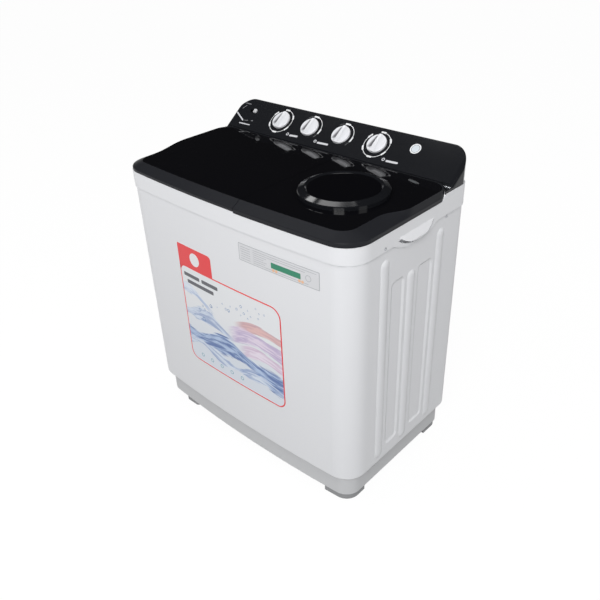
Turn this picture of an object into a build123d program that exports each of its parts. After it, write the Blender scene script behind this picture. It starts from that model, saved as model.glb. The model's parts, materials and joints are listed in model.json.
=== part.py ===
from build123d import *
import os
from math import cos, radians, sin

os.makedirs("parts", exist_ok=True)

# Twin tub washer. Millimetres, +Z up, floor at Z 0, front towards -Y, +X to the viewer's right.
# The origin is at floor level, under the middle of the machine.

# ---------------------------------------------------------------- tubs side by side, which set the width
WASH_W = 432.0
WASH_D = 330.0
WASH_R = 70.0
SPIN_R = 166.0            # inside of the outer spin tub
WASH_SIDE = 32.0          # outline to the wash tub
TUB_GAP = 36.0            # between the two tubs
SPIN_SIDE = 28.0          # outline to the spin tub
BEYOND = 1500.0           # further out than any piece reaches

# ---------------------------------------------------------------- overall plan shape
HALF_W = (WASH_SIDE + WASH_W + TUB_GAP + 2 * SPIN_R + SPIN_SIDE) / 2
WASH_X = -HALF_W + WASH_SIDE + WASH_W / 2
WASH_Y = -57.0
SPIN_X = HALF_W - SPIN_SIDE - SPIN_R
SPIN_Y = -36.0
FRONT_Y = -259.5          # most forward point of the bowed front
FRONT_END_Y = -241.6      # where the bowed front would meet the sides
REAR_Y = 255.0            # back of the deck
FRONT_R = 71.0            # plan radius of the front corners
REAR_R = 41.0             # plan radius of the rear corners
WALL = 3.0                # wall of the plastic mouldings
FIT = 0.3                 # gap between pieces that only sit beside each other

# ---------------------------------------------------------------- base and feet
FOOT_H = 23.6             # floor to underside of the base
BASE_TOP = 100.0          # top of the base, where the cabinet stands
BASE_INSET = 22.0         # base wall in from the deck outline, front and sides
BASE_REAR_INSET = 13.0
BASE_WALL = 4.0
FLOOR_T = 4.0             # floor plate of the base
FLOOR_LIFT = 10.0         # floor plate above the bottom rim
FOOT_INSET = 5.0          # corner feet in from the base wall
FOOT_LEN_X = 92.0
FOOT_LEN_Y = 76.0
SMALL_FOOT_X = -HALF_W + 136.0   # centre of the two smaller feet on the wash side
SMALL_FOOT_W = 64.0
SMALL_FOOT_D = 46.0
SMALL_FOOT_BACK = 16.0    # set back from the base wall

# ---------------------------------------------------------------- heights of the deck
DECK_Z = 834.5            # shoulder under the spin lid
WASH_STEP = 3.5           # the shoulder is higher under the wash lid
DECK_Z0 = DECK_Z - 44.5   # lower edge of the skirt
SEAT_Z = DECK_Z + 15.5    # raised rear part, which carries the control panel

# ---------------------------------------------------------------- cabinet
CAB_INSET = 3.3
CAB_REAR_INSET = 1.6
CAB_FOOT_R = 8.0          # rounding under the lower edge
CAB_LIP = 24.7            # how far the lower lip reaches in over the base wall
CAB_LIP_T = 5.0
RIB_YS = (-114.0, 1.0, 126.5)
RIB_TOPS = (DECK_Z0 - 25, DECK_Z0 - 100, DECK_Z0 - 33)
RIB_BOTTOM = 121.0
RIB_HALF = 17.0           # half width of a rib where it meets the side
RIB_PROUD = 4.5
RIB_R = (RIB_HALF**2 + RIB_PROUD**2) / (2 * RIB_PROUD)
PANEL_DEPTH = 3.0         # depth of the pressed fields between the ribs
PANEL_BEVEL = 68          # slope of their edges, in degrees from straight in
PANEL_GAP = 29.0          # rib centre line to the field beside it
PANEL_Z = (147.0, DECK_Z0 - 102)
PANEL_R = 16.0
SERVICE_W = 560.0         # opening behind the rear cover
SERVICE_Z = (150.0, DECK_Z0 - 150)
SERVICE_R = 20.0

# ---------------------------------------------------------------- deck
PLATE_T = 4.0
SEAT_Y = 134.0            # front of the raised part, at its top
SPLIT_X = WASH_X + WASH_W / 2 + 26   # joint between the two lids
SPLIT_GAP = 1.6
RIM_H = 8.0               # splash rim round each tub mouth
RIM_T = 4.0
WIRE_W = 560.0            # opening under the control panel
WIRE_Y = (186.0, 236.0)

# ---------------------------------------------------------------- carrying grips, one each side
GRIP_Y = 8.0              # middle of the grip along the side
GRIP_L = 190.0
GRIP_DROP = 25.0          # how far the lobe hangs below the skirt
GRIP_HOOD = 9.0           # how far the hood stands out
HOOD_L = 150.0
HOOD_Z = (DECK_Z0 - 11, DECK_Z0 + 16)
POCKET_D = 16.0           # depth of the finger recess
POCKET_Z0 = DECK_Z0 - 19
CUP_T = 2.5               # wall of the cup behind it

# ---------------------------------------------------------------- inside the tubs
SPIN_MOUTH_R = SPIN_R - 16
TUB_FLOOR = 334.0         # inside bottom of both tubs
TUB_T = 4.0
PULSATOR_R = 158.0
PULSATOR_H = 34.0
SHAFT_R = 8.0
RUN = 0.05                # running clearance round a shaft
BASKET_R = SPIN_R - 24
BASKET_Z = (TUB_FLOOR + 32, DECK_Z - 38.5)
BASKET_T = 2.0
RING_H = 22.0             # balance ring at the basket mouth
RING_T = 9.0
RING_LIP = 2.0

# ---------------------------------------------------------------- lids
LID_RIDGE = 11.0          # lower edge to the ridge
LID_TOP = SEAT_Z + 13
LID_BEVEL = 1.6           # bevel along the ridge
BAND_FRONT = 27.0         # sloped band: front, side at the front, side at the rear
BAND_SIDE = 39.0
BAND_REAR = 6.0
BAND_R = 40.0
SWEEP_SPIN = -105.0       # the gloss field begins to widen here, on the spin side
SWEEP_WASH = -172.0       # and here on the wash side
SWEEP_END = -5.0
GLOSS_T = 3.0
LID_FLOOR = 2.0           # moulding under the gloss sheet
LID_WALL = 3.0
HINGE_Y = 159.5
HINGE_Z = SEAT_Z + 7
BARREL_R = 6.0            # rounded rear edge of the lids
PIN_R = 2.5
PIN_END = 4.0             # outer pins stop this far inside the overall width
PIN_L = 44.0
PIN_INNER_L = 11.0
LUG_W = 8.0               # lug of the control panel between the lids
LUG_D = 8.0               # room for the lug in front of the hinge line
GLOSS_BACK = 8.0          # gloss sheets stop this far from the lids' rear edge
LID_REAR_R = 55.0
RING_BASE_R = 119.0
RING_WALL = 11.0
RING_TOP = LID_TOP + 17
RING_IN_R = 102.0
RING_SPIGOT_R = 112.0
WINDOW_R = 94.0

# ---------------------------------------------------------------- control panel
FOOT_Y = 166.0            # foot of the sloped face
FOOT_Z = SEAT_Z + 14.5
PANEL_TILT = 37.3
CREST_Y = 261.0           # back of the panel
CREST_R = 3.0
PANEL_INSET = 1.5         # ends of the panel inside the overall width
PANEL_REAR_R = 58.0       # plan radius of its rear corners
END_R = 12.0              # rounding between the sloped face and the ends
SKIN = 3.0
WRAP_Y = 131.0            # the ends reach forward round the lids to here
COVER_W = 660.0           # opening in the back of the panel
COVER_Z = (SEAT_Z + 8, SEAT_Z + 62)
COVER_T = 1.5
COVER_LAP = 6.0

# ---------------------------------------------------------------- controls
KNOB_S = 60.0             # knob centres, up the slope from the foot
KNOB_XS = (-220.0, -101.0, 21.0, 151.0)
KNOB_R = 30.0
KNOB_DISC = 6.0
KNOB_BAR = 9.0            # finger bar above the disc
KNOB_BAR_W = 15.0         # its width at the top
KNOB_SCOOP_R = 16.0       # hollow of the finger scoops beside it
KNOB_GAP = 0.8
STEM_R = 3.0
STEM_DEEP = 20.0          # stem below the sloped face
TIMER_W = 48.0
TIMER_D = 44.0
TIMER_T = 24.0
SWITCH_W = 36.0
SWITCH_T = 20.0
LEVER_X = -HALF_W + 86.0  # water lever at rest
LEVER_S = 70.0
LEVER_TRAVEL = 18.0
LEVER_W = 12.0            # cap: width, depth, height
LEVER_D = 13.0
LEVER_H = 5.0
LEVER_GRIP = 3.0          # rib on top of the cap
LEVER_NECK_W = 6.0
LEVER_NECK_D = 8.8
LEVER_GAP = 0.1
INLET_X = -HALF_W + 80.0
INLET_R = 12.0
INLET_BORE = 8.0
INLET_Z = SEAT_Z + 22
INLET_BOX_W = 90.0
INLET_BOX_D = 32.0

# ---------------------------------------------------------------- drive
MOTOR_R = 62.0
WASH_MOTOR_X = -HALF_W + 100.0
WASH_MOTOR_Y = 100.0
MOTOR_Z = (84.0, 180.0)
MOUNT_PLATE = 4.0         # plate under each motor
MOUNT_PCR = 74.0          # its three fixing points
POST_R = 9.0
SPRING_H = 24.0           # spring mounts under the spin motor
ROTOR_R = 6.0             # shaft of the wash motor
PULLEY_Z = (196.0, 212.0)
WASH_PITCH_R = 72.0       # where the belt runs on each pulley
MOTOR_PITCH_R = 20.0
BELT_T = 5.0
BELT_CLEAR = 0.3
BELT_H = 8.0
GEAR_R = 48.0
GEAR_Z = (222.0, 322.0)
GEAR_FLANGE_R = 70.0
NECK_R = 12.0             # neck of the gearbox through the tub floor
SCREW_R = 3.0
SPIN_MOTOR_Z = (88.0, 190.0)
DRUM_R = 50.0
DRUM_Z = (214.0, 244.0)
SEAL_R = 34.0             # hole for the spin seal in the tub floor

# ---------------------------------------------------------------- drain and tub fittings
VALVE_X = WASH_X + WASH_W / 2 - 46
VALVE_Y = 60.0
VALVE_BORE = 13.0
VALVE_R = 22.0
VALVE_Z0 = 276.0
PLUNGER_R = 13.0
PLUNGER_STEM_R = 4.0
PLUNGER_RISE = 12.0
SEAT_HOLE_R = 9.0
VALVE_OUT_R = 8.5         # side outlet of the valve
DRAIN_X = 300.0           # drain spigot in the rear wall of the base
DRAIN_Z = 58.0
DRAIN_R = 12.0
DRAIN_BORE = 9.0
DRAIN_FIT = 1.0           # spigot to the hole in the wall
DRAIN_BARB = 0.8          # barb that holds the hose
DRAIN_OUT = 16.0          # its length outside the wall
DRAIN_IN = 24.0           # and inside
FILTER_W = 110.0
FILTER_T = 12.0
FILTER_H = 200.0
FILTER_DROP = 74.5        # top of the filter below the deck
FILTER_Z = (DECK_Z - FILTER_DROP - FILTER_H, DECK_Z - FILTER_DROP)
OVERFLOW_W = 70.0
OVERFLOW_T = 12.0
OVERFLOW_Z = (TUB_FLOOR + 86, DECK_Z - 54.5)
CAP_X = 0.0               # capacitor
CAP_Y = 180.0
CAP_R = 20.0
CAP_H = 70.0

# ---------------------------------------------------------------- rear cover and screws
PLATE_LAP = 15.0
REAR_PLATE_T = 2.0
HEAD_R = 4.0
HEAD_H = 1.6
SHANK_R = 1.8
SHANK_L = 10.0
DECK_SCREWS = ((-120.0, DECK_Z0 + 8), (150.0, DECK_Z0 - 7))
TAB_T = 9.0


# ================================================================ helpers
def outline(inset=0.0, rear_inset=None):
    """Plan outline of the machine moved in by the inset: bowed front and rounded corners."""
    back = inset if rear_inset is None else rear_inset
    half = HALF_W - inset
    front_end = FRONT_END_Y + inset
    rear = REAR_Y - back
    edges = [
        ThreePointArc((-half, front_end), (0, FRONT_Y + inset), (half, front_end)),
        Line((half, front_end), (half, rear)),
        Line((half, rear), (-half, rear)),
        Line((-half, rear), (-half, front_end)),
    ]
    face = make_face(edges).face()
    face = face.fillet_2d(FRONT_R - inset, face.vertices().group_by(Axis.Y)[0])
    return face.fillet_2d(REAR_R - back, face.vertices().group_by(Axis.Y)[-1])


def rise(face, z0, z1):
    """A plan face made a solid between two heights."""
    return extrude(Pos(0, 0, z0) * face, amount=z1 - z0, dir=(0, 0, 1))


def slab(inset, z0, z1, rear_inset=None):
    """The machine's outline as a solid between two heights."""
    return rise(outline(inset, rear_inset), z0, z1)


def block(x0, x1, y0, y1, z0, z1):
    """A box between two corners."""
    return Pos((x0 + x1) / 2, (y0 + y1) / 2, (z0 + z1) / 2) * Box(x1 - x0, y1 - y0, z1 - z0)


def rod(x, y, z0, z1, radius):
    """An upright cylinder."""
    return Pos(x, y, (z0 + z1) / 2) * Cylinder(radius, z1 - z0)


def tube(x, y, z0, z1, outer, inner):
    """An upright tube."""
    return rod(x, y, z0, z1, outer) - rod(x, y, z0 - 1, z1 + 1, inner)


def turned(points, x=0.0, y=0.0):
    """A solid turned about an upright axis from radius and height points."""
    profile = make_face(Polyline([(r, 0, z) for r, z in points], close=True))
    return Pos(x, y, 0) * revolve(profile, Axis.Z, 360)


def both_sides(solid):
    """A piece and its mirror image on the other side."""
    return solid + mirror(solid, Plane.YZ)


def rounded_block(x, y, width, depth, radius, z0, z1):
    """An upright block with rounded corners, centred on a point."""
    return rise(Pos(x, y) * RectangleRounded(width, depth, radius), z0, z1)


def along_x(points, x0, x1):
    """A profile of depth and height points carried along the width."""
    profile = make_face(Polyline([(x0, y, z) for y, z in points], close=True))
    return extrude(profile, amount=x1 - x0, dir=(1, 0, 0))


def save(shape, name):
    """Writes one node and reports its solids and volume."""
    solids = shape.solids()
    body = solids[0] if len(solids) == 1 else Compound(children=list(solids))
    export_step(body, "parts/" + name + ".step")
    print(name, len(solids), round(sum(s.volume for s in solids)))


# ================================================================ base, feet, cabinet
def make_base():
    """Tray that carries cabinet, motors and feet, open at the top."""
    floor_z = FOOT_H + FLOOR_LIFT
    shell = slab(BASE_INSET, FOOT_H, BASE_TOP, BASE_REAR_INSET)
    inner = slab(BASE_INSET + BASE_WALL, floor_z + FLOOR_T, BASE_TOP + 1, BASE_REAR_INSET + BASE_WALL)
    under = slab(BASE_INSET + BASE_WALL, FOOT_H - 1, floor_z, BASE_REAR_INSET + BASE_WALL)
    shell -= inner + under
    for x, y, z in (
        (WASH_MOTOR_X, WASH_MOTOR_Y, MOTOR_Z[0] - MOUNT_PLATE),
        (SPIN_X, SPIN_Y, SPIN_MOTOR_Z[0] - SPRING_H),
    ):
        for place in PolarLocations(MOUNT_PCR, 3, start_angle=90):
            post = rod(0, 0, floor_z + 1, z, POST_R)
            shell += Pos(x, y) * place * post
    wall = Pos(DRAIN_X, REAR_Y - BASE_REAR_INSET, DRAIN_Z) * Rot(90, 0, 0)
    return shell - wall * Cylinder(DRAIN_R + DRAIN_FIT, 4 * BASE_WALL)


def make_feet():
    """Four feet: two follow the corners of the base, two stand further in on the wash side."""
    half = HALF_W - BASE_INSET
    plan = outline(BASE_INSET + FOOT_INSET, BASE_REAR_INSET + FOOT_INSET)
    ring = rise(plan, 0, FOOT_H + FLOOR_LIFT)
    rear = REAR_Y - BASE_REAR_INSET
    feet = ring & block(half - FOOT_LEN_X, half, FRONT_Y, FRONT_END_Y + BASE_INSET + FOOT_LEN_Y, 0, 60)
    feet += ring & block(half - FOOT_LEN_X, half, rear - FOOT_LEN_Y, rear, 0, 60)
    front_y = FRONT_Y + BASE_INSET + SMALL_FOOT_BACK + SMALL_FOOT_D / 2
    for y in (front_y, rear - SMALL_FOOT_BACK - SMALL_FOOT_D / 2):
        feet += rounded_block(SMALL_FOOT_X, y, SMALL_FOOT_W, SMALL_FOOT_D, 12, 0, FOOT_H + FLOOR_LIFT)
    return feet


def make_cabinet():
    """Wrap-round cabinet: ribs and pressed fields on both sides, service opening behind."""
    shell = slab(CAB_INSET, BASE_TOP, DECK_Z - PLATE_T, CAB_REAR_INSET)
    shell = fillet(shell.faces().sort_by(Axis.Z)[0].edges(), CAB_FOOT_R)
    hollow = slab(CAB_INSET + WALL, BASE_TOP + CAB_LIP_T, DECK_Z, CAB_REAR_INSET + WALL)
    mouth = slab(CAB_INSET + CAB_LIP, BASE_TOP - 1, BASE_TOP + 10, CAB_REAR_INSET + CAB_LIP - 9)
    shell -= hollow + mouth
    side = HALF_W - CAB_INSET
    fields = Part()
    pads = Part()
    for y0, y1 in zip(RIB_YS[:2], RIB_YS[1:]):
        width = y1 - y0 - 2 * PANEL_GAP
        height = PANEL_Z[1] - PANEL_Z[0]
        middle = Pos(side, (y0 + y1) / 2, (PANEL_Z[0] + PANEL_Z[1]) / 2) * Rot(0, -90, 0)
        field = middle * RectangleRounded(height, width, PANEL_R)
        fields += extrude(field, amount=PANEL_DEPTH, taper=PANEL_BEVEL)
        pads += Pos(-WALL - PANEL_DEPTH) * middle * Rot(0, 180, 0) * extrude(
            RectangleRounded(height + 6, width + 6, PANEL_R + 3), amount=PANEL_DEPTH + 0.5
        )
    ribs = Part()
    for y, top in zip(RIB_YS, RIB_TOPS):
        middle = side + RIB_PROUD - RIB_R
        rib = rod(middle, y, RIB_BOTTOM + RIB_HALF, top - RIB_HALF, RIB_R)
        rib += Pos(middle, y, RIB_BOTTOM + RIB_HALF) * Sphere(RIB_R)
        rib += Pos(middle, y, top - RIB_HALF) * Sphere(RIB_R)
        ribs += rib & block(side - 1, side + 10, y - RIB_R, y + RIB_R, 0, BEYOND)
    shell += both_sides(pads + ribs)
    shell -= both_sides(fields)
    grow = CUP_T + FIT
    notch = pocket_lens(grow, HALF_W - 2 * POCKET_D, HALF_W + 9)
    ends = (GRIP_Y - HOOD_L / 2 - grow, GRIP_Y + HOOD_L / 2 + grow)
    notch += block(HALF_W - 2 * POCKET_D, HALF_W + 9, *ends, HOOD_Z[1] - 7, BEYOND)
    shell -= both_sides(notch)
    service = Pos(0, REAR_Y, (SERVICE_Z[0] + SERVICE_Z[1]) / 2) * Rot(90, 0, 0)
    service *= RectangleRounded(SERVICE_W, SERVICE_Z[1] - SERVICE_Z[0], SERVICE_R)
    shell -= extrude(service, amount=20, dir=(0, -1, 0))
    return shell - side_screws(0) - rear_screws(0)


# ================================================================ deck and tubs
def grip_lens(length, z_top, z_low, x0, x1):
    """A bow-shaped field on the right side: straight above, an arc below."""
    half = length / 2
    arc = ThreePointArc((x0, GRIP_Y - half, z_top), (x0, GRIP_Y, z_low), (x0, GRIP_Y + half, z_top))
    top = Line((x0, GRIP_Y + half, z_top), (x0, GRIP_Y - half, z_top))
    return extrude(make_face([arc, top]), amount=x1 - x0, dir=(1, 0, 0))


def grip_hood():
    """Hood over the finger recess: it stands out further towards its lower edge."""
    wedge = Polyline(
        [
            (HALF_W - 1, 0, HOOD_Z[1]),
            (HALF_W, 0, HOOD_Z[1]),
            (HALF_W + GRIP_HOOD, 0, HOOD_Z[0] + 5),
            (HALF_W + GRIP_HOOD, 0, HOOD_Z[0] - 5),
            (HALF_W - 1, 0, HOOD_Z[0] - 5),
        ],
        close=True,
    )
    bar = extrude(Pos(0, GRIP_Y + HOOD_L) * make_face(wedge), amount=2 * HOOD_L, dir=(0, -1, 0))
    return bar & grip_lens(HOOD_L, HOOD_Z[1], HOOD_Z[0], HALF_W - 1, HALF_W + GRIP_HOOD + 1)


def pocket_lens(grow, x0, x1):
    """The finger recess, grown by a wall."""
    return grip_lens(HOOD_L + 2 * grow, HOOD_Z[1] - 9 + grow, POCKET_Z0 - grow, x0, x1)


def wash_mouth(grow, z0, z1):
    """Upright block with the plan of the wash tub, grown by a wall."""
    return rounded_block(WASH_X, WASH_Y, WASH_W + 2 * grow, WASH_D + 2 * grow, WASH_R + grow, z0, z1)


def make_deck():
    """White deck: skirt with grips, tub mouths with splash rims, raised seat for the panel."""
    under = DECK_Z - PLATE_T
    wash_top = DECK_Z + WASH_STEP
    shell = slab(0, DECK_Z0, DECK_Z) - slab(WALL, DECK_Z0 - 1, under, CAB_REAR_INSET - FIT)
    shell += slab(0, DECK_Z, wash_top) & block(-HALF_W, SPLIT_X, FRONT_Y, REAR_Y, 0, BEYOND)
    ramp = SEAT_Z - DECK_Z
    seat = [(SEAT_Y - ramp, DECK_Z), (SEAT_Y, SEAT_Z), (REAR_Y, SEAT_Z), (REAR_Y, DECK_Z)]
    shell += along_x(seat, -HALF_W, HALF_W) & slab(0, DECK_Z - 1, SEAT_Z)
    inner = SEAT_Z - PLATE_T
    hollow = [(SEAT_Y + WALL, DECK_Z), (SEAT_Y + WALL, inner), (REAR_Y - WALL, inner), (REAR_Y - WALL, DECK_Z)]
    shell -= along_x(hollow, -HALF_W, HALF_W) & slab(WALL, DECK_Z, SEAT_Z)
    shell -= block(-WIRE_W / 2, WIRE_W / 2, WIRE_Y[0], WIRE_Y[1], DECK_Z0, SEAT_Z + 1)
    rim_z = wash_top + RIM_H
    shell += wash_mouth(RIM_T, under, rim_z)
    shell += rod(SPIN_X, SPIN_Y, under, rim_z, SPIN_MOUTH_R + RIM_T)
    shell -= wash_mouth(0, DECK_Z0, rim_z + 1)
    shell -= rod(SPIN_X, SPIN_Y, DECK_Z0, rim_z + 1, SPIN_MOUTH_R)
    lobe = grip_lens(GRIP_L, DECK_Z0 + 0.01, DECK_Z0 - GRIP_DROP, HALF_W - WALL, HALF_W)
    cup = pocket_lens(CUP_T, HALF_W - POCKET_D - CUP_T, HALF_W - 0.5)
    shell += both_sides(lobe + cup + grip_hood())
    shell -= both_sides(pocket_lens(0, HALF_W - POCKET_D, HALF_W - WALL))
    slot = pocket_lens(0, HALF_W - WALL - 1, HALF_W + 1)
    slot -= grip_lens(HOOD_L, HOOD_Z[1], HOOD_Z[0], HALF_W - 9, HALF_W + 9)
    shell -= both_sides(slot)
    tab_y, tab_z = DECK_SCREWS[1]
    inner = HALF_W - CAB_INSET - WALL
    shell += both_sides(block(inner - TAB_T, inner, tab_y - 10, tab_y + 10, tab_z - 10, under + 1))
    return shell - side_screws(0)


def make_twin_tub():
    """One moulding: the wash tub and the outer spin tub under a shared flange."""
    top = DECK_Z - PLATE_T
    floor_z = TUB_FLOOR - TUB_T
    shell = wash_mouth(TUB_T, floor_z, top)
    shell += rod(SPIN_X, SPIN_Y, floor_z, top, SPIN_R + TUB_T)
    shell += block(WASH_X + WASH_W / 2, SPIN_X - SPIN_R + 20, -140, 60, floor_z, floor_z + TUB_T)
    flange = slab(34, top - TUB_T, top) & block(-HALF_W, HALF_W, FRONT_Y, WASH_Y + WASH_D / 2 + 16, 0, BEYOND)
    shell += flange
    shell -= wash_mouth(0, TUB_FLOOR, top + 1)
    shell -= rod(SPIN_X, SPIN_Y, TUB_FLOOR, top + 1, SPIN_R)
    shell -= rod(WASH_X, WASH_Y, floor_z - 1, TUB_FLOOR + 1, NECK_R)
    shell -= rod(SPIN_X, SPIN_Y, floor_z - 1, TUB_FLOOR + 1, SEAL_R)
    shell -= rod(VALVE_X, VALVE_Y, floor_z - 1, TUB_FLOOR + 1, VALVE_BORE)
    return shell


def make_pulsator():
    """Shallow dish with a raised hub and three swept fins."""
    dish = turned(
        [
            (0, TUB_FLOOR + 4), (PULSATOR_R, TUB_FLOOR + 4), (PULSATOR_R, TUB_FLOOR + 9),
            (PULSATOR_R * 0.7, TUB_FLOOR + 12), (46, TUB_FLOOR + 20), (34, TUB_FLOOR + PULSATOR_H),
            (0, TUB_FLOOR + PULSATOR_H),
        ],
        WASH_X, WASH_Y,
    )
    fin = Pos(PULSATOR_R / 2 + 8, 0, TUB_FLOOR + 19) * Box(PULSATOR_R - 22, 14, 20)
    fin = fillet(fin.edges().filter_by(Axis.Z) + fin.faces().sort_by(Axis.Z)[-1].edges(), 5)
    for place in PolarLocations(0.001, 3):
        dish += Pos(WASH_X, WASH_Y) * place * fin
    dish -= rod(WASH_X, WASH_Y, TUB_FLOOR - 1, TUB_FLOOR + PULSATOR_H - 8, SHAFT_R)
    dish -= rod(WASH_X, WASH_Y, TUB_FLOOR, TUB_FLOOR + PULSATOR_H + 1, SCREW_R)
    return dish


def make_basket():
    """Spin basket: perforated drum with a floor and a hub."""
    z0, z1 = BASKET_Z
    drum = tube(SPIN_X, SPIN_Y, z0, z1, BASKET_R, BASKET_R - BASKET_T)
    drum += rod(SPIN_X, SPIN_Y, z0, z0 + 4, BASKET_R)
    drum += turned([(0, z0), (34, z0), (30, z0 + 30), (22, z0 + 38), (0, z0 + 38)], SPIN_X, SPIN_Y)
    drum -= rod(SPIN_X, SPIN_Y, z0 - 1, z0 + 26, SHAFT_R)
    return drum


def make_balance_ring():
    """Hollow ring pressed into the mouth of the basket; its lip rests on the drum's edge."""
    top = BASKET_Z[1]
    ring = tube(SPIN_X, SPIN_Y, top - RING_H, top, BASKET_R - BASKET_T, BASKET_R - RING_T)
    return ring + tube(SPIN_X, SPIN_Y, top, top + RING_LIP, BASKET_R + 1, BASKET_R - RING_T)


# ================================================================ lids
def lid_plan(front, side, rear_side, rear, corner_r):
    """Plan of both lids together, moved in by different amounts at front, side and rear side.

    Every plan has the same run of edges, so that two of them can be joined by ruled faces.
    """
    x_side = HALF_W - side
    x_rear = HALF_W - rear_side
    y_rear = HINGE_Y + BARREL_R - rear
    x_front = x_side - corner_r
    y_front = FRONT_Y + front
    y_corner = y_front + (x_front / HALF_W) ** 2 * (FRONT_END_Y - FRONT_Y)
    y_side = y_corner + corner_r
    rear_r = LID_REAR_R - rear_side
    slope = 2 * (FRONT_END_Y - FRONT_Y) * x_front / HALF_W**2

    def half_plan(sweep):
        return [
            TangentArc((x_front, y_corner), (x_side, y_side), tangent=(1, slope)),
            Line((x_side, y_side), (x_side, sweep)),
            Spline((x_side, sweep), (x_rear, SWEEP_END), tangents=[(0, 1), (0, 1)]),
            Line((x_rear, SWEEP_END), (x_rear, y_rear - rear_r)),
            TangentArc((x_rear, y_rear - rear_r), (x_rear - rear_r, y_rear), tangent=(0, 1)),
        ]

    right = half_plan(SWEEP_SPIN)
    left = [mirror(edge, Plane.YZ) for edge in half_plan(SWEEP_WASH)]
    front_arc = ThreePointArc((-x_front, y_corner), (0, y_front), (x_front, y_corner))
    rear_line = Line((x_rear - rear_r, y_rear), (rear_r - x_rear, y_rear))
    return make_face([front_arc, rear_line] + right + left).face()


def lid_crown(grow, z_low, z_ridge, z_top):
    """Lid body: upright below the ridge, sloping in from it to the gloss field."""
    rim = lid_plan(grow, grow, grow, 0, FRONT_R - grow)
    edge = grow + LID_BEVEL / 2
    ridge = lid_plan(edge, edge, edge, 0, FRONT_R - edge)
    field = lid_plan(BAND_FRONT + grow / 2, BAND_SIDE + grow / 2, BAND_REAR + grow, 0, BAND_R)
    body = rise(rim, z_low, z_ridge - LID_BEVEL)
    body += loft([Pos(0, 0, z_ridge - LID_BEVEL) * rim, Pos(0, 0, z_ridge) * ridge], ruled=True)
    return body + loft([Pos(0, 0, z_ridge) * ridge, Pos(0, 0, z_top) * field], ruled=True)


def lid_range(left, gap):
    """Everything on one lid's side of the joint between the lids."""
    x0, x1 = (-HALF_W - 9, SPLIT_X - gap) if left else (SPLIT_X + gap, HALF_W + 9)
    return block(x0, x1, FRONT_Y - 9, REAR_Y, 0, BEYOND)


def seat_clearance():
    """Space that the raised rear of the deck takes under the lids."""
    top = SEAT_Z + 0.7
    ramp = top - DECK_Z
    y = SEAT_Y - 1
    points = [(y - ramp, DECK_Z0), (y - ramp, DECK_Z), (y, top), (REAR_Y, top), (REAR_Y, DECK_Z0)]
    return along_x(points, -HALF_W - 9, HALF_W + 9)


def hinge_bar(x0, x1, radius):
    """A round bar on the hinge line."""
    return Pos((x0 + x1) / 2, HINGE_Y, HINGE_Z) * Rot(0, 90, 0) * Cylinder(radius, x1 - x0)


def pin_spans(left):
    """Ends of the two hinge pins of one lid, along the width."""
    outer = HALF_W - PIN_END
    if left:
        return ((-outer, -outer + PIN_L), (SPLIT_X - 0.5 - PIN_INNER_L, SPLIT_X - 0.5))
    return ((SPLIT_X + 0.5, SPLIT_X + 0.5 + PIN_INNER_L), (outer - PIN_L, outer))


def make_lid(left):
    """Lid moulding: hollow below, with a seat for its gloss sheet and a rounded hinge edge."""
    low = DECK_Z + (WASH_STEP if left else 0) + 0.5
    ridge = DECK_Z + LID_RIDGE + 1.5
    floor_z = LID_TOP - GLOSS_T - LID_FLOOR
    body = lid_crown(0, low, ridge, LID_TOP)
    hollow = lid_crown(LID_WALL + 1, low - 9, ridge - 1.5, floor_z)
    hollow &= block(-HALF_W, HALF_W, FRONT_Y, HINGE_Y - BARREL_R - 3, 0, BEYOND)
    body &= lid_range(left, SPLIT_GAP / 2)
    body -= hollow & lid_range(left, SPLIT_GAP / 2 + LID_WALL)
    body -= rise(gloss_plan(0), LID_TOP - GLOSS_T, LID_TOP + 1)
    body -= seat_clearance()
    behind = block(-HALF_W, HALF_W, HINGE_Y, REAR_Y, 0, BEYOND) - hinge_bar(-HALF_W, HALF_W, BARREL_R)
    body -= behind
    lug = LUG_W / 2 + FIT
    body -= block(SPLIT_X - lug, SPLIT_X + lug, HINGE_Y - LUG_D - 1, REAR_Y, 0, BEYOND)
    for x0, x1 in pin_spans(left):
        body -= hinge_bar(x0, x1, PIN_R)
    if not left:
        body -= rod(SPIN_X, SPIN_Y, DECK_Z, BEYOND, RING_SPIGOT_R)
    return body


def gloss_plan(shrink):
    """Plan of the gloss field of both lids."""
    return lid_plan(BAND_FRONT + shrink, BAND_SIDE + shrink, BAND_REAR + shrink, GLOSS_BACK + shrink, BAND_R)


def make_gloss(left):
    """Gloss sheet let into the top of one lid."""
    sheet = rise(gloss_plan(FIT), LID_TOP - GLOSS_T, LID_TOP) & lid_range(left, SPLIT_GAP / 2)
    lug = LUG_W / 2 + FIT
    sheet -= block(SPLIT_X - lug, SPLIT_X + lug, HINGE_Y - LUG_D - 1, REAR_Y, 0, BEYOND)
    if not left:
        sheet -= rod(SPIN_X, SPIN_Y, DECK_Z, BEYOND, RING_SPIGOT_R)
    return sheet


def make_lid_pins(left):
    """The two hinge pins of one lid."""
    pins = Part()
    for x0, x1 in pin_spans(left):
        pins += hinge_bar(x0, x1, PIN_R)
    return pins


def make_ring():
    """Raised round bezel of the spin window: upright wall, sloped collar and inner ledge."""
    wall_z = LID_TOP + RING_WALL
    ledge = RING_TOP - 6
    return turned(
        [
            (RING_SPIGOT_R, LID_TOP - GLOSS_T - LID_FLOOR), (RING_SPIGOT_R, LID_TOP),
            (RING_BASE_R, LID_TOP), (RING_BASE_R, wall_z - 2), (RING_BASE_R - 1.5, wall_z),
            (RING_IN_R, RING_TOP), (RING_IN_R - 3, RING_TOP), (WINDOW_R + 0.2, ledge + 2),
            (WINDOW_R + 0.2, ledge), (WINDOW_R - 5, ledge), (WINDOW_R - 5, ledge - 3),
            (RING_IN_R - 2, ledge - 3), (RING_SPIGOT_R - 4, LID_TOP - GLOSS_T - LID_FLOOR),
        ],
        SPIN_X, SPIN_Y,
    )


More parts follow.
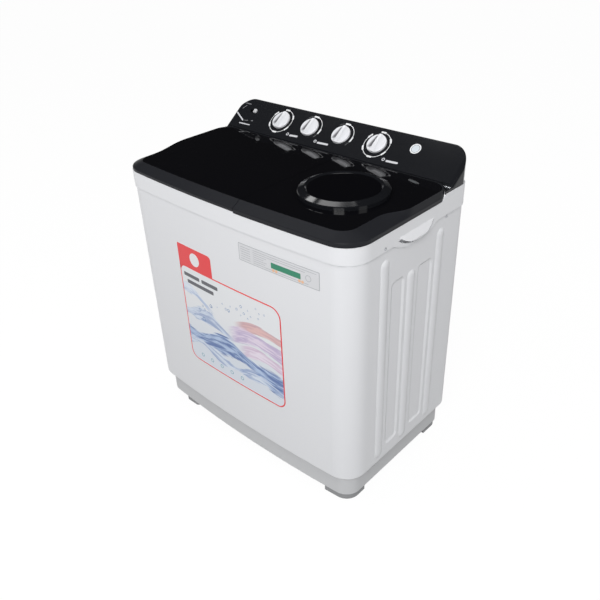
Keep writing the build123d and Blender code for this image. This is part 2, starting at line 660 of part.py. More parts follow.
def make_window():
    """Dark see-through disc in the bezel."""
    ledge = RING_TOP - 6
    return rod(SPIN_X, SPIN_Y, ledge, ledge + 3, WINDOW_R)


# ================================================================ control panel
def on_slope(x, s, h=0.0):
    """Place on the sloped face: along the width, up the slope, out of the face."""
    tilt = radians(PANEL_TILT)
    y = FOOT_Y + s * cos(tilt) - h * sin(tilt)
    z = FOOT_Z + s * sin(tilt) + h * cos(tilt)
    return Pos(x, y, z) * Rot(PANEL_TILT, 0, 0)


def on_face(x, s, h0, h1, face):
    """A face on the slope made a solid between two heights above it."""
    return on_slope(x, s, h0) * extrude(face, amount=h1 - h0)


def panel_form(t):
    """Outer form of the control panel, or its hollow when t is the skin."""
    half = HALF_W - PANEL_INSET - t
    section = Pos(0, -BEYOND / 2 - t) * Rectangle(2 * half, BEYOND)
    section = fillet(section.vertices().group_by(Axis.Y)[-1], END_R - t)
    tilt = radians(PANEL_TILT)
    across = Plane(origin=(0, FOOT_Y, FOOT_Z), x_dir=(1, 0, 0), z_dir=(0, -cos(tilt), -sin(tilt)))
    body = extrude(across * section, amount=BEYOND, both=True)
    plan = Pos(0, CREST_Y - t - BEYOND / 2) * Rectangle(2 * (half + PANEL_INSET), BEYOND)
    plan = fillet(plan.vertices().group_by(Axis.Y)[-1], PANEL_REAR_R - t)
    low = SEAT_Z - (1 if t else 0)
    return body & rise(plan, low, BEYOND)


def lid_sweep():
    """Room that the rear corners of the lids need on both sides as they swing open."""
    corner = lid_plan(-1, -1, -1, -1, FRONT_R + 1)
    depth = LID_REAR_R + 2 * BARREL_R
    corner &= Pos(0, HINGE_Y - depth / 2) * Rectangle(2 * HALF_W + 9, depth)
    swing = revolve(Pos(0, 0, HINGE_Z) * corner, Axis((0, HINGE_Y, HINGE_Z), (-1, 0, 0)), 180)
    swing &= block(-HALF_W - 9, HALF_W + 9, FRONT_Y, FOOT_Y, 0, BEYOND)
    reach = HALF_W - LID_REAR_R / 2
    return swing + hinge_bar(-reach, reach, BARREL_R + 0.5)


def make_panel():
    """Black sloped housing that wraps round the rear corners of the lids."""
    form = panel_form(0)
    shell = form & block(-HALF_W, HALF_W, FOOT_Y, BEYOND, 0, BEYOND)
    high = FOOT_Z + (CREST_Y - FOOT_Y) / 5
    crest = shell.edges().filter_by(
        lambda e: e.center().Z > high and e.center().Y > CREST_Y - 0.6 * PANEL_REAR_R
    )
    crest = crest.filter_by(lambda e: e.geom_type != GeomType.LINE or abs(e.center().X) < 1)
    shell = fillet(crest, CREST_R)
    shell -= panel_form(SKIN) & block(-HALF_W, HALF_W, FOOT_Y + SKIN, BEYOND, 0, BEYOND)
    ends = block(-HALF_W, HALF_W, WRAP_Y, FOOT_Y + SKIN, 0, FOOT_Z)
    wrap = (form + slab(PANEL_INSET, SEAT_Z, HINGE_Z)) & ends
    wrap -= rise(lid_plan(-1, -1, -1, -1, FRONT_R + 1), SEAT_Z - 1, FOOT_Z + 9)
    shell += wrap - lid_sweep()
    shell += hinge_bar(SPLIT_X - LUG_W / 2, SPLIT_X + LUG_W / 2, BARREL_R)
    low = HINGE_Z - BARREL_R
    shell += block(SPLIT_X - LUG_W / 2, SPLIT_X + LUG_W / 2, HINGE_Y, FOOT_Y + 1, low, HINGE_Z + BARREL_R)
    shell -= hinge_bar(SPLIT_X - LUG_W, SPLIT_X + LUG_W, PIN_R + RUN)
    shell -= both_sides(hinge_bar(HALF_W - 40, HALF_W - PIN_END + FIT, PIN_R + RUN))
    for x in KNOB_XS:
        shell -= on_face(x, KNOB_S, -SKIN - 2, 2, Circle(STEM_R + 0.2))
    slot = Rectangle(LEVER_TRAVEL + LEVER_NECK_W + 6, LEVER_NECK_D + 2 * LEVER_GAP)
    shell -= on_face(LEVER_X - LEVER_TRAVEL / 2, LEVER_S, -SKIN - 2, 2, slot)
    z0, z1 = COVER_Z
    shell -= block(-COVER_W / 2, COVER_W / 2, CREST_Y - 9, CREST_Y + 9, z0, z1)
    outer = COVER_W / 2 + COVER_LAP
    shell -= block(-outer, outer, CREST_Y - COVER_T, CREST_Y + 9, z0 - COVER_LAP, z1 + COVER_LAP)
    spigot = Pos(INLET_X, CREST_Y, INLET_Z) * Rot(90, 0, 0) * Cylinder(INLET_R, 60)
    return shell - spigot


def make_panel_cover():
    """Plate that closes the back of the control panel."""
    outer = COVER_W / 2 + COVER_LAP - FIT
    low = COVER_Z[0] - COVER_LAP + FIT
    plate = block(-outer, outer, CREST_Y - COVER_T, CREST_Y, low, COVER_Z[1] + COVER_LAP - FIT)
    spigot = Pos(INLET_X, CREST_Y, INLET_Z) * Rot(90, 0, 0) * Cylinder(INLET_R, 60)
    return plate - spigot


def make_knob(x):
    """Round knob with a finger bar and the stem that turns its timer or switch."""
    floor = KNOB_GAP + KNOB_DISC
    top = floor + KNOB_BAR
    knob = rod(0, 0, KNOB_GAP, top, KNOB_R)
    knob = chamfer(knob.edges().sort_by(Axis.Z)[-1], 1.5)
    axis_x = KNOB_BAR_W / 2 + (KNOB_SCOOP_R**2 - (KNOB_SCOOP_R - KNOB_BAR) ** 2) ** 0.5
    scoop = Pos(axis_x, 0, floor + KNOB_SCOOP_R) * Rot(90, 0, 0) * Cylinder(KNOB_SCOOP_R, 2 * KNOB_R + 2)
    scoop += block(axis_x, KNOB_R + 1, -KNOB_R - 1, KNOB_R + 1, floor, top + 1)
    knob -= both_sides(scoop)
    knob += rod(0, 0, -STEM_DEEP, floor, STEM_R)
    return on_slope(x, KNOB_S) * knob


def make_timer(x, wide):
    """Clockwork timer, or the flatter selector switch, on the inside of the sloped face."""
    width, depth, height = (TIMER_W, TIMER_D, TIMER_T) if wide else (SWITCH_W, SWITCH_W, SWITCH_T)
    bottom = -SKIN - height
    case = rounded_block(0, 0, width, depth, 3, bottom, -SKIN)
    if wide:
        case -= rounded_block(0, 0, width - 8, depth - 8, 2, bottom - 1, bottom + 2)
    else:
        case += rod(0, 0, bottom - 2, bottom + 1, width / 2 - 5)
    case -= rod(0, 0, -STEM_DEEP - 1, 0, STEM_R + RUN)
    return on_slope(x, KNOB_S) * case


def make_lever():
    """Cap and neck of the water lever, which slides in its slot."""
    cap = rounded_block(0, 0, LEVER_W, LEVER_D, 3, 0.6, 0.6 + LEVER_H)
    cap = fillet(cap.faces().sort_by(Axis.Z)[-1].edges(), 1.5)
    grip = rounded_block(0, 0, LEVER_W / 3, LEVER_D - 4, 1.5, LEVER_H, LEVER_H + LEVER_GRIP)
    neck = block(-LEVER_NECK_W / 2, LEVER_NECK_W / 2, -LEVER_NECK_D / 2, LEVER_NECK_D / 2, -10, 1)
    return on_slope(LEVER_X, LEVER_S) * (cap + grip + neck)


def make_inlet():
    """Water box under the panel with its spigot through the back."""
    seat_y = CREST_Y - SKIN
    y0 = seat_y - 8 - INLET_BOX_D
    body = block(-INLET_BOX_W / 2, INLET_BOX_W / 2, y0, seat_y - 8, SEAT_Z, INLET_Z + INLET_R + 4)
    body = Pos(INLET_X) * fillet(body.edges().filter_by(Axis.Z), 6)
    spigot = Pos(INLET_X, CREST_Y - 20, INLET_Z) * Rot(90, 0, 0) * Cylinder(INLET_R, 40)
    bore = Pos(INLET_X, CREST_Y, INLET_Z) * Rot(90, 0, 0) * Cylinder(INLET_BORE, 60)
    return body + spigot - bore


# ================================================================ drive
def fixing_points(x, y):
    """The three fixing points of a motor plate."""
    return [Pos(x, y) * place for place in PolarLocations(MOUNT_PCR, 3, start_angle=90)]


def make_motor(x, y, span, bore):
    """Motor on its three-eared plate, with a blind bore for the shaft."""
    z0, z1 = span
    lap = z0 + 14
    body = turned(
        [
            (0, z0 - MOUNT_PLATE), (MOTOR_R - 10, z0 - MOUNT_PLATE), (MOTOR_R - 10, z0 + 4),
            (MOTOR_R - 4, lap), (MOTOR_R, lap), (MOTOR_R, z1 - 14), (MOTOR_R - 4, z1 - 14),
            (MOTOR_R - 12, z1 - 3), (22, z1 - 3), (22, z1), (0, z1),
        ],
        x, y,
    )
    plate = rod(x, y, z0 - MOUNT_PLATE, z0, MOTOR_R - 2)
    for place in fixing_points(x, y):
        plate += place * rod(0, 0, z0 - MOUNT_PLATE, z0, POST_R)
        plate += place * block(-20, 0, -POST_R, POST_R, z0 - MOUNT_PLATE, z0)
    return body + plate - rod(x, y, z1 - 30, z1 + 1, bore)


def make_spring_mounts():
    """Three rubber springs between the base and the spin motor."""
    z1 = SPIN_MOTOR_Z[0] - MOUNT_PLATE
    z0 = SPIN_MOTOR_Z[0] - SPRING_H
    waist = [(0, z0)]
    for i in range(3):
        z = z0 + i * (z1 - z0) / 3
        step = (z1 - z0) / 3
        waist += [(POST_R + 3, z), (POST_R + 3, z + step * 0.5), (POST_R, z + step * 0.75)]
    waist += [(POST_R + 3, z1), (0, z1)]
    mount = turned(waist)
    mounts = Part()
    for place in fixing_points(SPIN_X, SPIN_Y):
        mounts += place * mount
    return mounts


def pulley(x, y, pitch, bore):
    """Belt pulley: rim with a groove, web and hub."""
    z0, z1 = PULLEY_Z
    middle = (z0 + z1) / 2
    groove = pitch - BELT_T / 2 - BELT_CLEAR
    half = BELT_H / 2 + 1
    rim = pitch + 3
    wheel = rod(x, y, z0, z1, rim) - tube(x, y, middle - half, middle + half, rim + 1, groove)
    if pitch > 40:
        wheel -= tube(x, y, z0 - 1, z0 + 5, groove - 6, 20)
        wheel -= tube(x, y, z1 - 5, z1 + 1, groove - 6, 20)
    return wheel - rod(x, y, z0 - 1, z1 + 1, bore)


def belt_face(offset):
    """Plan enclosed by the belt at a distance from the line it runs on."""
    wash = Pos(WASH_X, WASH_Y) * Circle(WASH_PITCH_R + offset)
    motor = Pos(WASH_MOTOR_X, WASH_MOTOR_Y) * Circle(MOTOR_PITCH_R + offset)
    return make_hull(wash.edges() + motor.edges())


def make_belt():
    """Drive belt round both pulleys."""
    middle = (PULLEY_Z[0] + PULLEY_Z[1]) / 2
    z0, z1 = middle - BELT_H / 2, middle + BELT_H / 2
    return rise(belt_face(BELT_T / 2), z0, z1) - rise(belt_face(-BELT_T / 2), z0 - 1, z1 + 1)


def make_gearbox():
    """Gearbox bolted under the wash tub, with a neck through the tub floor."""
    z0, z1 = GEAR_Z
    top = TUB_FLOOR - TUB_T
    case = turned(
        [
            (0, z0 - 8), (24, z0 - 8), (24, z0), (GEAR_R - 8, z0), (GEAR_R, z0 + 8), (GEAR_R, z1 - 6),
            (GEAR_FLANGE_R, z1), (GEAR_FLANGE_R, top), (NECK_R, top), (NECK_R, TUB_FLOOR + 3), (0, TUB_FLOOR + 3),
        ],
        WASH_X, WASH_Y,
    )
    return case - rod(WASH_X, WASH_Y, z0 - 9, TUB_FLOOR + 9, SHAFT_R + RUN)


def make_seal():
    """Rubber seal and bearing that carries the spin shaft in the tub floor."""
    low = TUB_FLOOR - TUB_T
    return turned(
        [
            (SHAFT_R + RUN, low - 14), (18, low - 14), (18, low), (SEAL_R, low), (SEAL_R, TUB_FLOOR),
            (SEAL_R + 7, TUB_FLOOR), (SEAL_R + 7, TUB_FLOOR + 3), (SEAL_R - 4, TUB_FLOOR + 3), (22, low + 7),
            (16, low + 18), (SHAFT_R + RUN, low + 18),
        ],
        SPIN_X, SPIN_Y,
    )


def make_drum():
    """Brake drum on the spin shaft: a shallow cup."""
    z0, z1 = DRUM_Z
    cup = rod(SPIN_X, SPIN_Y, z0, z1, DRUM_R) - tube(SPIN_X, SPIN_Y, z0 + 5, z1 + 1, DRUM_R - 4, 16)
    return cup - rod(SPIN_X, SPIN_Y, z0 - 1, z1 + 1, SHAFT_R)


def make_shaft(x, y, z0, z1, radius, tap=False):
    """Plain shaft, with a tapped hole in its top where a screw goes."""
    shaft = rod(x, y, z0, z1, radius)
    if tap:
        shaft -= rod(x, y, z1 - 12, z1 + 1, SCREW_R)
    return shaft


# ================================================================ drain and tub fittings
def make_valve():
    """Drain valve chamber under the wash tub with its seat, stem guide and side outlet."""
    low = TUB_FLOOR - TUB_T
    body = rod(VALVE_X, VALVE_Y, VALVE_Z0, low, VALVE_R) + rod(VALVE_X, VALVE_Y, low, TUB_FLOOR, VALVE_BORE)
    side = Pos(VALVE_X, VALVE_Y + VALVE_R, VALVE_Z0 + 3 + 6.5) * Rot(90, 0, 0)
    body += side * Cylinder(VALVE_OUT_R, 40)
    seat = VALVE_Z0 + 20
    guide = low - 12
    body -= rod(VALVE_X, VALVE_Y, VALVE_Z0 + 3, seat - 4, VALVE_R - 3)
    body -= rod(VALVE_X, VALVE_Y, seat - 5, seat + 1, SEAT_HOLE_R)
    body -= rod(VALVE_X, VALVE_Y, seat, guide, VALVE_R - 3)
    body -= rod(VALVE_X, VALVE_Y, guide + 3, TUB_FLOOR + 1, VALVE_BORE - 2)
    body -= rod(VALVE_X, VALVE_Y, guide - 1, guide + 4, PLUNGER_STEM_R + RUN)
    for place in PolarLocations(VALVE_BORE / 2 + 0.6, 4):
        body -= Pos(VALVE_X, VALVE_Y) * place * rod(0, 0, guide - 1, guide + 4, 2.2)
    return body - side * Cylinder(VALVE_OUT_R - 3, 41)


def make_plunger():
    """Drain plunger: a disc over the seat and a guided stem."""
    seat = VALVE_Z0 + 20 + 0.2
    return rod(VALVE_X, VALVE_Y, seat, seat + 4, PLUNGER_R) + rod(
        VALVE_X, VALVE_Y, seat + 3, TUB_FLOOR - 5, PLUNGER_STEM_R
    )


def make_outlet():
    """Drain spigot through the rear wall of the base; the hose slides over its barbed end."""
    wall = REAR_Y - BASE_REAR_INSET
    inner = wall - BASE_WALL
    points = [
        (DRAIN_BORE, inner - DRAIN_IN), (DRAIN_R, inner - DRAIN_IN), (DRAIN_R, inner - 3),
        (DRAIN_R + 5, inner - 3), (DRAIN_R + 5, inner), (DRAIN_R, inner), (DRAIN_R, wall + DRAIN_OUT - 6),
        (DRAIN_R + DRAIN_BARB, wall + DRAIN_OUT - 6), (DRAIN_R - 0.5, wall + DRAIN_OUT), (DRAIN_BORE, wall + DRAIN_OUT),
    ]
    return Pos(DRAIN_X, 0, DRAIN_Z) * Rot(-90, 0, 0) * turned(points)


def make_filter():
    """Lint filter frame on the rear wall of the wash tub."""
    wall = WASH_Y + WASH_D / 2
    z0, z1 = FILTER_Z
    y = wall - FILTER_T / 2
    frame = Pos(WASH_X, y, (z0 + z1) / 2) * Rot(90, 0, 0)
    frame *= extrude(RectangleRounded(FILTER_W, z1 - z0, 14), amount=FILTER_T / 2, both=True)
    inner = Pos(WASH_X, wall - FILTER_T, (z0 + z1) / 2) * Rot(90, 0, 0)
    inner *= extrude(RectangleRounded(FILTER_W - 24, z1 - z0 - 40, 8), amount=8, both=True)
    return frame - inner


def make_overflow():
    """Ribbed cover over the overflow channel in the wash tub."""
    wall = WASH_X + WASH_W / 2
    z0, z1 = OVERFLOW_Z
    cover = block(wall - OVERFLOW_T, wall, WASH_Y - OVERFLOW_W / 2, WASH_Y + OVERFLOW_W / 2, z0, z1)
    cover = fillet(cover.faces().sort_by(Axis.X)[0].edges(), 5)
    for i in range(8):
        z = z1 - 30 - i * 14
        cover -= block(wall - OVERFLOW_T - 1, wall - OVERFLOW_T + 3, WASH_Y - 22, WASH_Y + 22, z - 3, z + 3)
    return cover


def make_capacitor():
    """Run capacitor standing on the floor of the base."""
    z0 = FOOT_H + FLOOR_LIFT + FLOOR_T
    can = chamfer(rod(CAP_X, CAP_Y, z0, z0 + CAP_H, CAP_R).edges().sort_by(Axis.Z)[-1], 2)
    return can + block(CAP_X - 8, CAP_X + 8, CAP_Y - 4, CAP_Y + 4, z0 + CAP_H - 1, z0 + CAP_H + 8)


# ================================================================ covers and screws
def screw(head_h, grow):
    """Pan screw with its head on the plane Z 0, or the hole that its shank needs."""
    shank = rod(0, 0, -SHANK_L, 0.5, SHANK_R + grow)
    if not head_h:
        return shank
    head = rod(0, 0, 0, head_h, HEAD_R)
    return shank + chamfer(head.edges().sort_by(Axis.Z)[-1], head_h * 0.5)


def side_screws(head_h):
    """Screws of the deck on both sides, or their holes."""
    skins = (HALF_W, HALF_W - CAB_INSET)
    group = Part()
    for (y, z), skin in zip(DECK_SCREWS, skins):
        group += Pos(skin, y, z) * Rot(0, 90, 0) * screw(head_h, 0)
    return both_sides(group)


def rear_screws(head_h):
    """Screws of the rear cover, or their holes."""
    skin = REAR_Y - CAB_REAR_INSET + REAR_PLATE_T
    z0, z1 = SERVICE_Z
    group = Part()
    for x in (-SERVICE_W / 2 - 7, 0, SERVICE_W / 2 + 7):
        for z in (z0 - 7, z1 + 7):
            group += Pos(x, skin, z) * Rot(-90, 0, 0) * screw(head_h, 0)
    return group


def make_rear_cover():
    """Flat plate over the service opening."""
    skin = REAR_Y - CAB_REAR_INSET
    z0, z1 = SERVICE_Z
    plate = Pos(0, skin + REAR_PLATE_T, (z0 + z1) / 2) * Rot(90, 0, 0)
    plate *= RectangleRounded(SERVICE_W + 2 * PLATE_LAP, z1 - z0 + 2 * PLATE_LAP, SERVICE_R)
    return extrude(plate, amount=REAR_PLATE_T, dir=(0, -1, 0)) - rear_screws(0)


def make_pulsator_screw():
    """Screw that holds the pulsator on its shaft."""
    top = TUB_FLOOR + PULSATOR_H
    head = chamfer(rod(WASH_X, WASH_Y, top, top + 4, 9).edges().sort_by(Axis.Z)[-1], 1.5)
    return head + rod(WASH_X, WASH_Y, top - 20, top + 1, SCREW_R)


# ================================================================ nodes
save(make_base(), "base")
save(make_feet(), "feet")
save(make_cabinet(), "cabinet")
save(make_deck(), "top_deck")
save(make_twin_tub(), "twin_tub")
save(make_lid(True), "wash_lid")
save(make_gloss(True), "wash_lid_gloss")
save(make_lid_pins(True), "wash_lid_pins")
save(make_lid(False), "spin_lid")
save(make_gloss(False), "spin_lid_gloss")
save(make_lid_pins(False), "spin_lid_pins")
save(make_ring(), "spin_lid_ring")
save(make_window(), "spin_lid_window")
save(make_panel(), "control_panel")
save(make_panel_cover(), "panel_back_cover")
for knob_x, knob_name, case_name, is_timer in zip(
    KNOB_XS,
    ("wash_timer_knob", "wash_selector_knob", "drain_selector_knob", "spin_timer_knob"),
    ("wash_timer", "wash_selector", "drain_selector", "spin_timer"),
    (True, False, False, True),
):
    save(make_knob(knob_x), knob_name)
    save(make_timer(knob_x, is_timer), case_name)
save(make_lever(), "water_lever")
save(make_inlet(), "water_inlet")
save(make_pulsator(), "pulsator")
save(make_pulsator_screw(), "pulsator_screw")
save(make_shaft(WASH_X, WASH_Y, PULLEY_Z[0] - 4, TUB_FLOOR + PULSATOR_H - 8, SHAFT_R, True), "pulsator_shaft")
save(pulley(WASH_X, WASH_Y, WASH_PITCH_R, SHAFT_R), "wash_pulley")
save(make_gearbox(), "gearbox")
save(make_motor(WASH_MOTOR_X, WASH_MOTOR_Y, MOTOR_Z, ROTOR_R + RUN), "wash_motor")
save(make_shaft(WASH_MOTOR_X, WASH_MOTOR_Y, MOTOR_Z[1] - 29, PULLEY_Z[1] + 3, ROTOR_R), "motor_shaft")
save(pulley(WASH_MOTOR_X, WASH_MOTOR_Y, MOTOR_PITCH_R, ROTOR_R), "motor_pulley")
save(make_belt(), "drive_belt")
save(make_motor(SPIN_X, SPIN_Y, SPIN_MOTOR_Z, SHAFT_R + RUN), "spin_motor")
save(make_spring_mounts(), "spin_motor_mounts")
save(make_shaft(SPIN_X, SPIN_Y, SPIN_MOTOR_Z[1] - 29, BASKET_Z[0] + 26, SHAFT_R), "spin_shaft")
save(make_drum(), "brake_drum")
save(make_seal(), "spin_seal")
save(make_basket(), "spin_basket")
save(make_balance_ring(), "balance_ring")
save(make_valve(), "drain_valve")
save(make_plunger(), "drain_plunger")
save(make_outlet(), "drain_outlet")
save(make_filter(), "lint_filter")
save(make_overflow(), "overflow_cover")
save(make_capacitor(), "capacitor")
save(make_rear_cover(), "rear_cover")
save(rear_screws(HEAD_H), "rear_cover_screws")
save(side_screws(HEAD_H), "deck_screws")
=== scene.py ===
import json
from math import cos, pi, radians, sin

import bpy
import numpy as np
from mathutils import Matrix, Vector


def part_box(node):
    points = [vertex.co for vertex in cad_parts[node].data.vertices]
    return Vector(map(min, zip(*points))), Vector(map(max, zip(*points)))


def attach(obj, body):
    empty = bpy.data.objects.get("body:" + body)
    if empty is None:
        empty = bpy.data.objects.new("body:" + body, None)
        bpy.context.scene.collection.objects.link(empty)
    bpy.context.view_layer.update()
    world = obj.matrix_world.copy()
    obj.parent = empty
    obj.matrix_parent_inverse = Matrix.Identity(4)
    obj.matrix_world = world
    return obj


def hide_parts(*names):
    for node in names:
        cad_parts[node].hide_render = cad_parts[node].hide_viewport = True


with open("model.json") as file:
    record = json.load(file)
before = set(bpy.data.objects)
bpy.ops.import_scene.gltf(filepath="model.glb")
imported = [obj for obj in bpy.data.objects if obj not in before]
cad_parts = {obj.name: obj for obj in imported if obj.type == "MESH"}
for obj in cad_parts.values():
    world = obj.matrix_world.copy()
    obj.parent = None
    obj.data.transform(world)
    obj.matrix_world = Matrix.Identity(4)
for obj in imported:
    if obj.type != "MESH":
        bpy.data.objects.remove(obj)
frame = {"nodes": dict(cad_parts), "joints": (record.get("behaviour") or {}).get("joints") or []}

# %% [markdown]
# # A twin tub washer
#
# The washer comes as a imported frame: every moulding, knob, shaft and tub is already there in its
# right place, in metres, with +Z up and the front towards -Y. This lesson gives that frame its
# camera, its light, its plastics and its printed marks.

NODES = frame["nodes"]
JOINTS = {joint["name"]: joint for joint in frame["joints"]}
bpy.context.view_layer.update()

# %% [markdown]
# ## Camera
#
# The machine is seen from its front right corner and from above. A camera is easiest to state as a
# place, a heading, a dip below the horizon and a small tilt. The three turns make three axes, and
# these are written straight into the camera's matrix.

# %% Camera
EYE = Vector((1.2377, -1.2579, 1.5262))
HEADING = 0.76398         # turned left of straight ahead, in radians
DIP = 0.55625             # below the horizon
TILT = 0.040391           # about the line of sight
LENS_MM = 40.068
SENSOR_MM = 36


def new_object(name, data):
    """Object in the scene, at the origin."""
    thing = bpy.data.objects.new(name, data)
    bpy.context.scene.collection.objects.link(thing)
    return thing


def make_camera():
    """Camera axes from heading, dip and tilt: forward, then right and down turned by the tilt."""
    forward = Vector((-sin(HEADING) * cos(DIP), cos(HEADING) * cos(DIP), -sin(DIP)))
    level = Vector((cos(HEADING), sin(HEADING), 0))
    down = forward.cross(level)
    right = cos(TILT) * level + sin(TILT) * down
    below = cos(TILT) * down - sin(TILT) * level
    lens = bpy.data.cameras.new("camera")
    lens.lens = LENS_MM
    lens.sensor_width = SENSOR_MM
    camera = new_object("camera", lens)
    turn = Matrix((right, -below, -forward)).transposed().to_4x4()
    camera.matrix_world = Matrix.Translation(EYE) @ turn
    bpy.context.scene.camera = camera


make_camera()
bpy.context.scene.view_settings.view_transform = "Standard"
print("camera at", tuple(round(v, 3) for v in EYE))

# %% [markdown]
# ## Room
#
# A white machine is easiest to judge on a white sweep in a dim room, with a few soft boxes. The
# floor is a wide plane. It is seen as white, and a part of its real shading is kept, so that the
# machine still stands on something. The world lights softly from all round, but a mirror-like lid
# sees it as a dim room above a white band at the horizon, because the black plastics would turn
# grey in a room that is bright all over.

# %% Math nodes by short names
def feed(tree, socket, value):
    """Links a socket to another one, or sets it to a plain value."""
    if isinstance(value, bpy.types.NodeSocket):
        tree.links.new(value, socket)
    else:
        socket.default_value = value


def link_math(tree, operation, first, *others, clamp=False):
    """Math nodes in a row, one for each value after the first; each is a socket or a number."""
    result = first
    for value in others or (None,):
        node = tree.nodes.new("ShaderNodeMath")
        node.operation = operation
        node.use_clamp = clamp
        feed(tree, node.inputs[0], result)
        if value is not None:
            feed(tree, node.inputs[1], value)
        result = node.outputs[0]
    return result


def link_hypot(tree, a, b):
    """Root of the sum of two squares."""
    squares = [link_math(tree, "POWER", side, 2.0) for side in (a, b)]
    return link_math(tree, "SQRT", link_math(tree, "ADD", *squares))


print("math helpers", [maker.__name__ for maker in (feed, link_math, link_hypot)])

# %% Ramps, colours and coordinates by short names
def link_ramp(tree, value, low, high):
    """Smooth step of a value from 0 at low to 1 at high, also where high is the lower number."""
    node = tree.nodes.new("ShaderNodeMapRange")
    node.interpolation_type = "SMOOTHSTEP"
    node.inputs["From Min"].default_value = low
    node.inputs["From Max"].default_value = high
    tree.links.new(value, node.inputs["Value"])
    return node.outputs["Result"]


def link_mix(tree, factor, a, b):
    """Mix of two colours, each a socket or a plain colour, by a socket."""
    node = tree.nodes.new("ShaderNodeMix")
    node.data_type = "RGBA"
    tree.links.new(factor, node.inputs["Factor"])
    for socket, value in ((node.inputs[6], a), (node.inputs[7], b)):
        feed(tree, socket, (*value, 1) if isinstance(value, tuple) else value)
    return node.outputs[2]


def object_axes(tree):
    """X, Y and Z of the Object coordinates."""
    coords = tree.nodes.new("ShaderNodeTexCoord")
    split = tree.nodes.new("ShaderNodeSeparateXYZ")
    tree.links.new(coords.outputs["Object"], split.inputs[0])
    return split.outputs["X"], split.outputs["Y"], split.outputs["Z"]


def fresh_tree(owner):
    """Empty node tree of a material or a world."""
    owner.use_nodes = True
    owner.node_tree.nodes.clear()
    return owner.node_tree


print("other helpers", [maker.__name__ for maker in (link_ramp, link_mix, object_axes)])

# %% World
FILL = 0.57               # soft light from all round
DIM_ROOM = 0.012          # what the black plastics mirror above the horizon
HORIZON = 0.5             # and at the horizon
BAND_FADES = (0.20, 0.10)  # the white band ends and is full at these sines of the height


def make_world():
    """White to the eye; dim with a white horizon to mirrors; even light to all the rest."""
    world = bpy.data.worlds.new("room")
    bpy.context.scene.world = world
    tree = fresh_tree(world)
    way = tree.nodes.new("ShaderNodeTexCoord")
    split = tree.nodes.new("ShaderNodeSeparateXYZ")
    tree.links.new(way.outputs["Generated"], split.inputs[0])
    path = tree.nodes.new("ShaderNodeLightPath").outputs
    band = link_ramp(tree, split.outputs["Z"], *BAND_FADES)
    mirrored = link_math(tree, "ADD", link_math(tree, "MULTIPLY", band, HORIZON), DIM_ROOM)
    glossy = link_math(tree, "MAXIMUM", path["Is Glossy Ray"], path["Is Transmission Ray"])
    even = link_math(tree, "MULTIPLY", link_math(tree, "SUBTRACT", 1.0, glossy), FILL)
    strength = link_math(tree, "ADD", even, link_math(tree, "MULTIPLY", glossy, mirrored))
    seen = path["Is Camera Ray"]
    strength = link_math(tree, "MULTIPLY", strength, link_math(tree, "SUBTRACT", 1.0, seen))
    strength = link_math(tree, "ADD", strength, seen)
    light = tree.nodes.new("ShaderNodeBackground")
    light.inputs["Color"].default_value = (1, 1, 1, 1)
    tree.links.new(strength, light.inputs["Strength"])
    out = tree.nodes.new("ShaderNodeOutputWorld")
    tree.links.new(light.outputs[0], out.inputs["Surface"])


make_world()
print("fill light", FILL)

# %% Floor
FLOOR_HALF = 14.0
FLOOR_GREY = 0.12         # what it bounces back at the machine
SHADOW_KEPT = 0.40        # share of the floor's real shading that the eye sees
FLOOR_WHITE = 1.59        # the rest, so that the unshaded floor comes out white


def make_floor():
    """A wide plane on the machine's standing level."""
    corners = np.array([[-1, -1, 0], [1, -1, 0], [1, 1, 0], [-1, 1, 0]], float) * FLOOR_HALF
    mesh = bpy.data.meshes.new("floor")
    mesh.from_pydata(corners.tolist(), [], [(0, 1, 2, 3)])
    floor = new_object("floor", mesh)
    material = bpy.data.materials.new("floor_white")
    tree = fresh_tree(material)
    shade = tree.nodes.new("ShaderNodeBsdfDiffuse")
    shade.inputs["Color"].default_value = (FLOOR_GREY, FLOOR_GREY, FLOOR_GREY, 1)
    white = tree.nodes.new("ShaderNodeEmission")
    white.inputs["Strength"].default_value = FLOOR_WHITE
    path = tree.nodes.new("ShaderNodeLightPath").outputs
    seen = link_math(tree, "MAXIMUM", path["Is Camera Ray"], path["Is Glossy Ray"],
                     path["Is Transmission Ray"])
    mix = tree.nodes.new("ShaderNodeMixShader")
    tree.links.new(link_math(tree, "MULTIPLY", seen, 1.0 - SHADOW_KEPT), mix.inputs[0])
    tree.links.new(shade.outputs[0], mix.inputs[1])
    tree.links.new(white.outputs[0], mix.inputs[2])
    out = tree.nodes.new("ShaderNodeOutputMaterial")
    tree.links.new(mix.outputs[0], out.inputs["Surface"])
    mesh.materials.append(material)


make_floor()
print("floor", 2 * FLOOR_HALF, "m wide")

# %% [markdown]
# The main soft box stands to the right of the front, so that both white faces are lit, the ribs
# of the side catch it and the knobs shade their left flanks. A dim one high on the left lights
# little, but draws the pale patch at the left of the spin lid's raised collar. A small one close
# above the front lifts the upper half of the white face, and one at the right the ribbed side. The
# last hangs over the machine and only shows in glossy surfaces: it draws the grey arc along the
# front of the collar. All are aimed at the middle of the machine.

# %% Soft boxes
MIDDLE = Vector((0, 0, 0.55))


def soft_box(name, place, size, watts):
    """Rectangular lamp aimed at the middle of the machine."""
    lamp = bpy.data.lights.new(name, "AREA")
    lamp.shape = "RECTANGLE"
    lamp.size, lamp.size_y = size
    lamp.energy = watts
    box = new_object(name, lamp)
    box.location = place
    box.rotation_euler = (MIDDLE - Vector(place)).to_track_quat("-Z", "Y").to_euler()
    return box


soft_box("main_box", (1.95, -3.35, 3.3), (1.7, 1.5), 143)
soft_box("left_box", (-2.9, 0.75, 4.0), (0.9, 0.7), 12)
soft_box("top_box", (-0.95, -1.45, 2.7), (0.55, 0.45), 10)
soft_box("side_box", (3.4, -0.3, 2.6), (1.2, 1.0), 15)
soft_box("over_box", (-1.15, 0.95, 4.0), (1.9, 0.75), 18).visible_diffuse = False

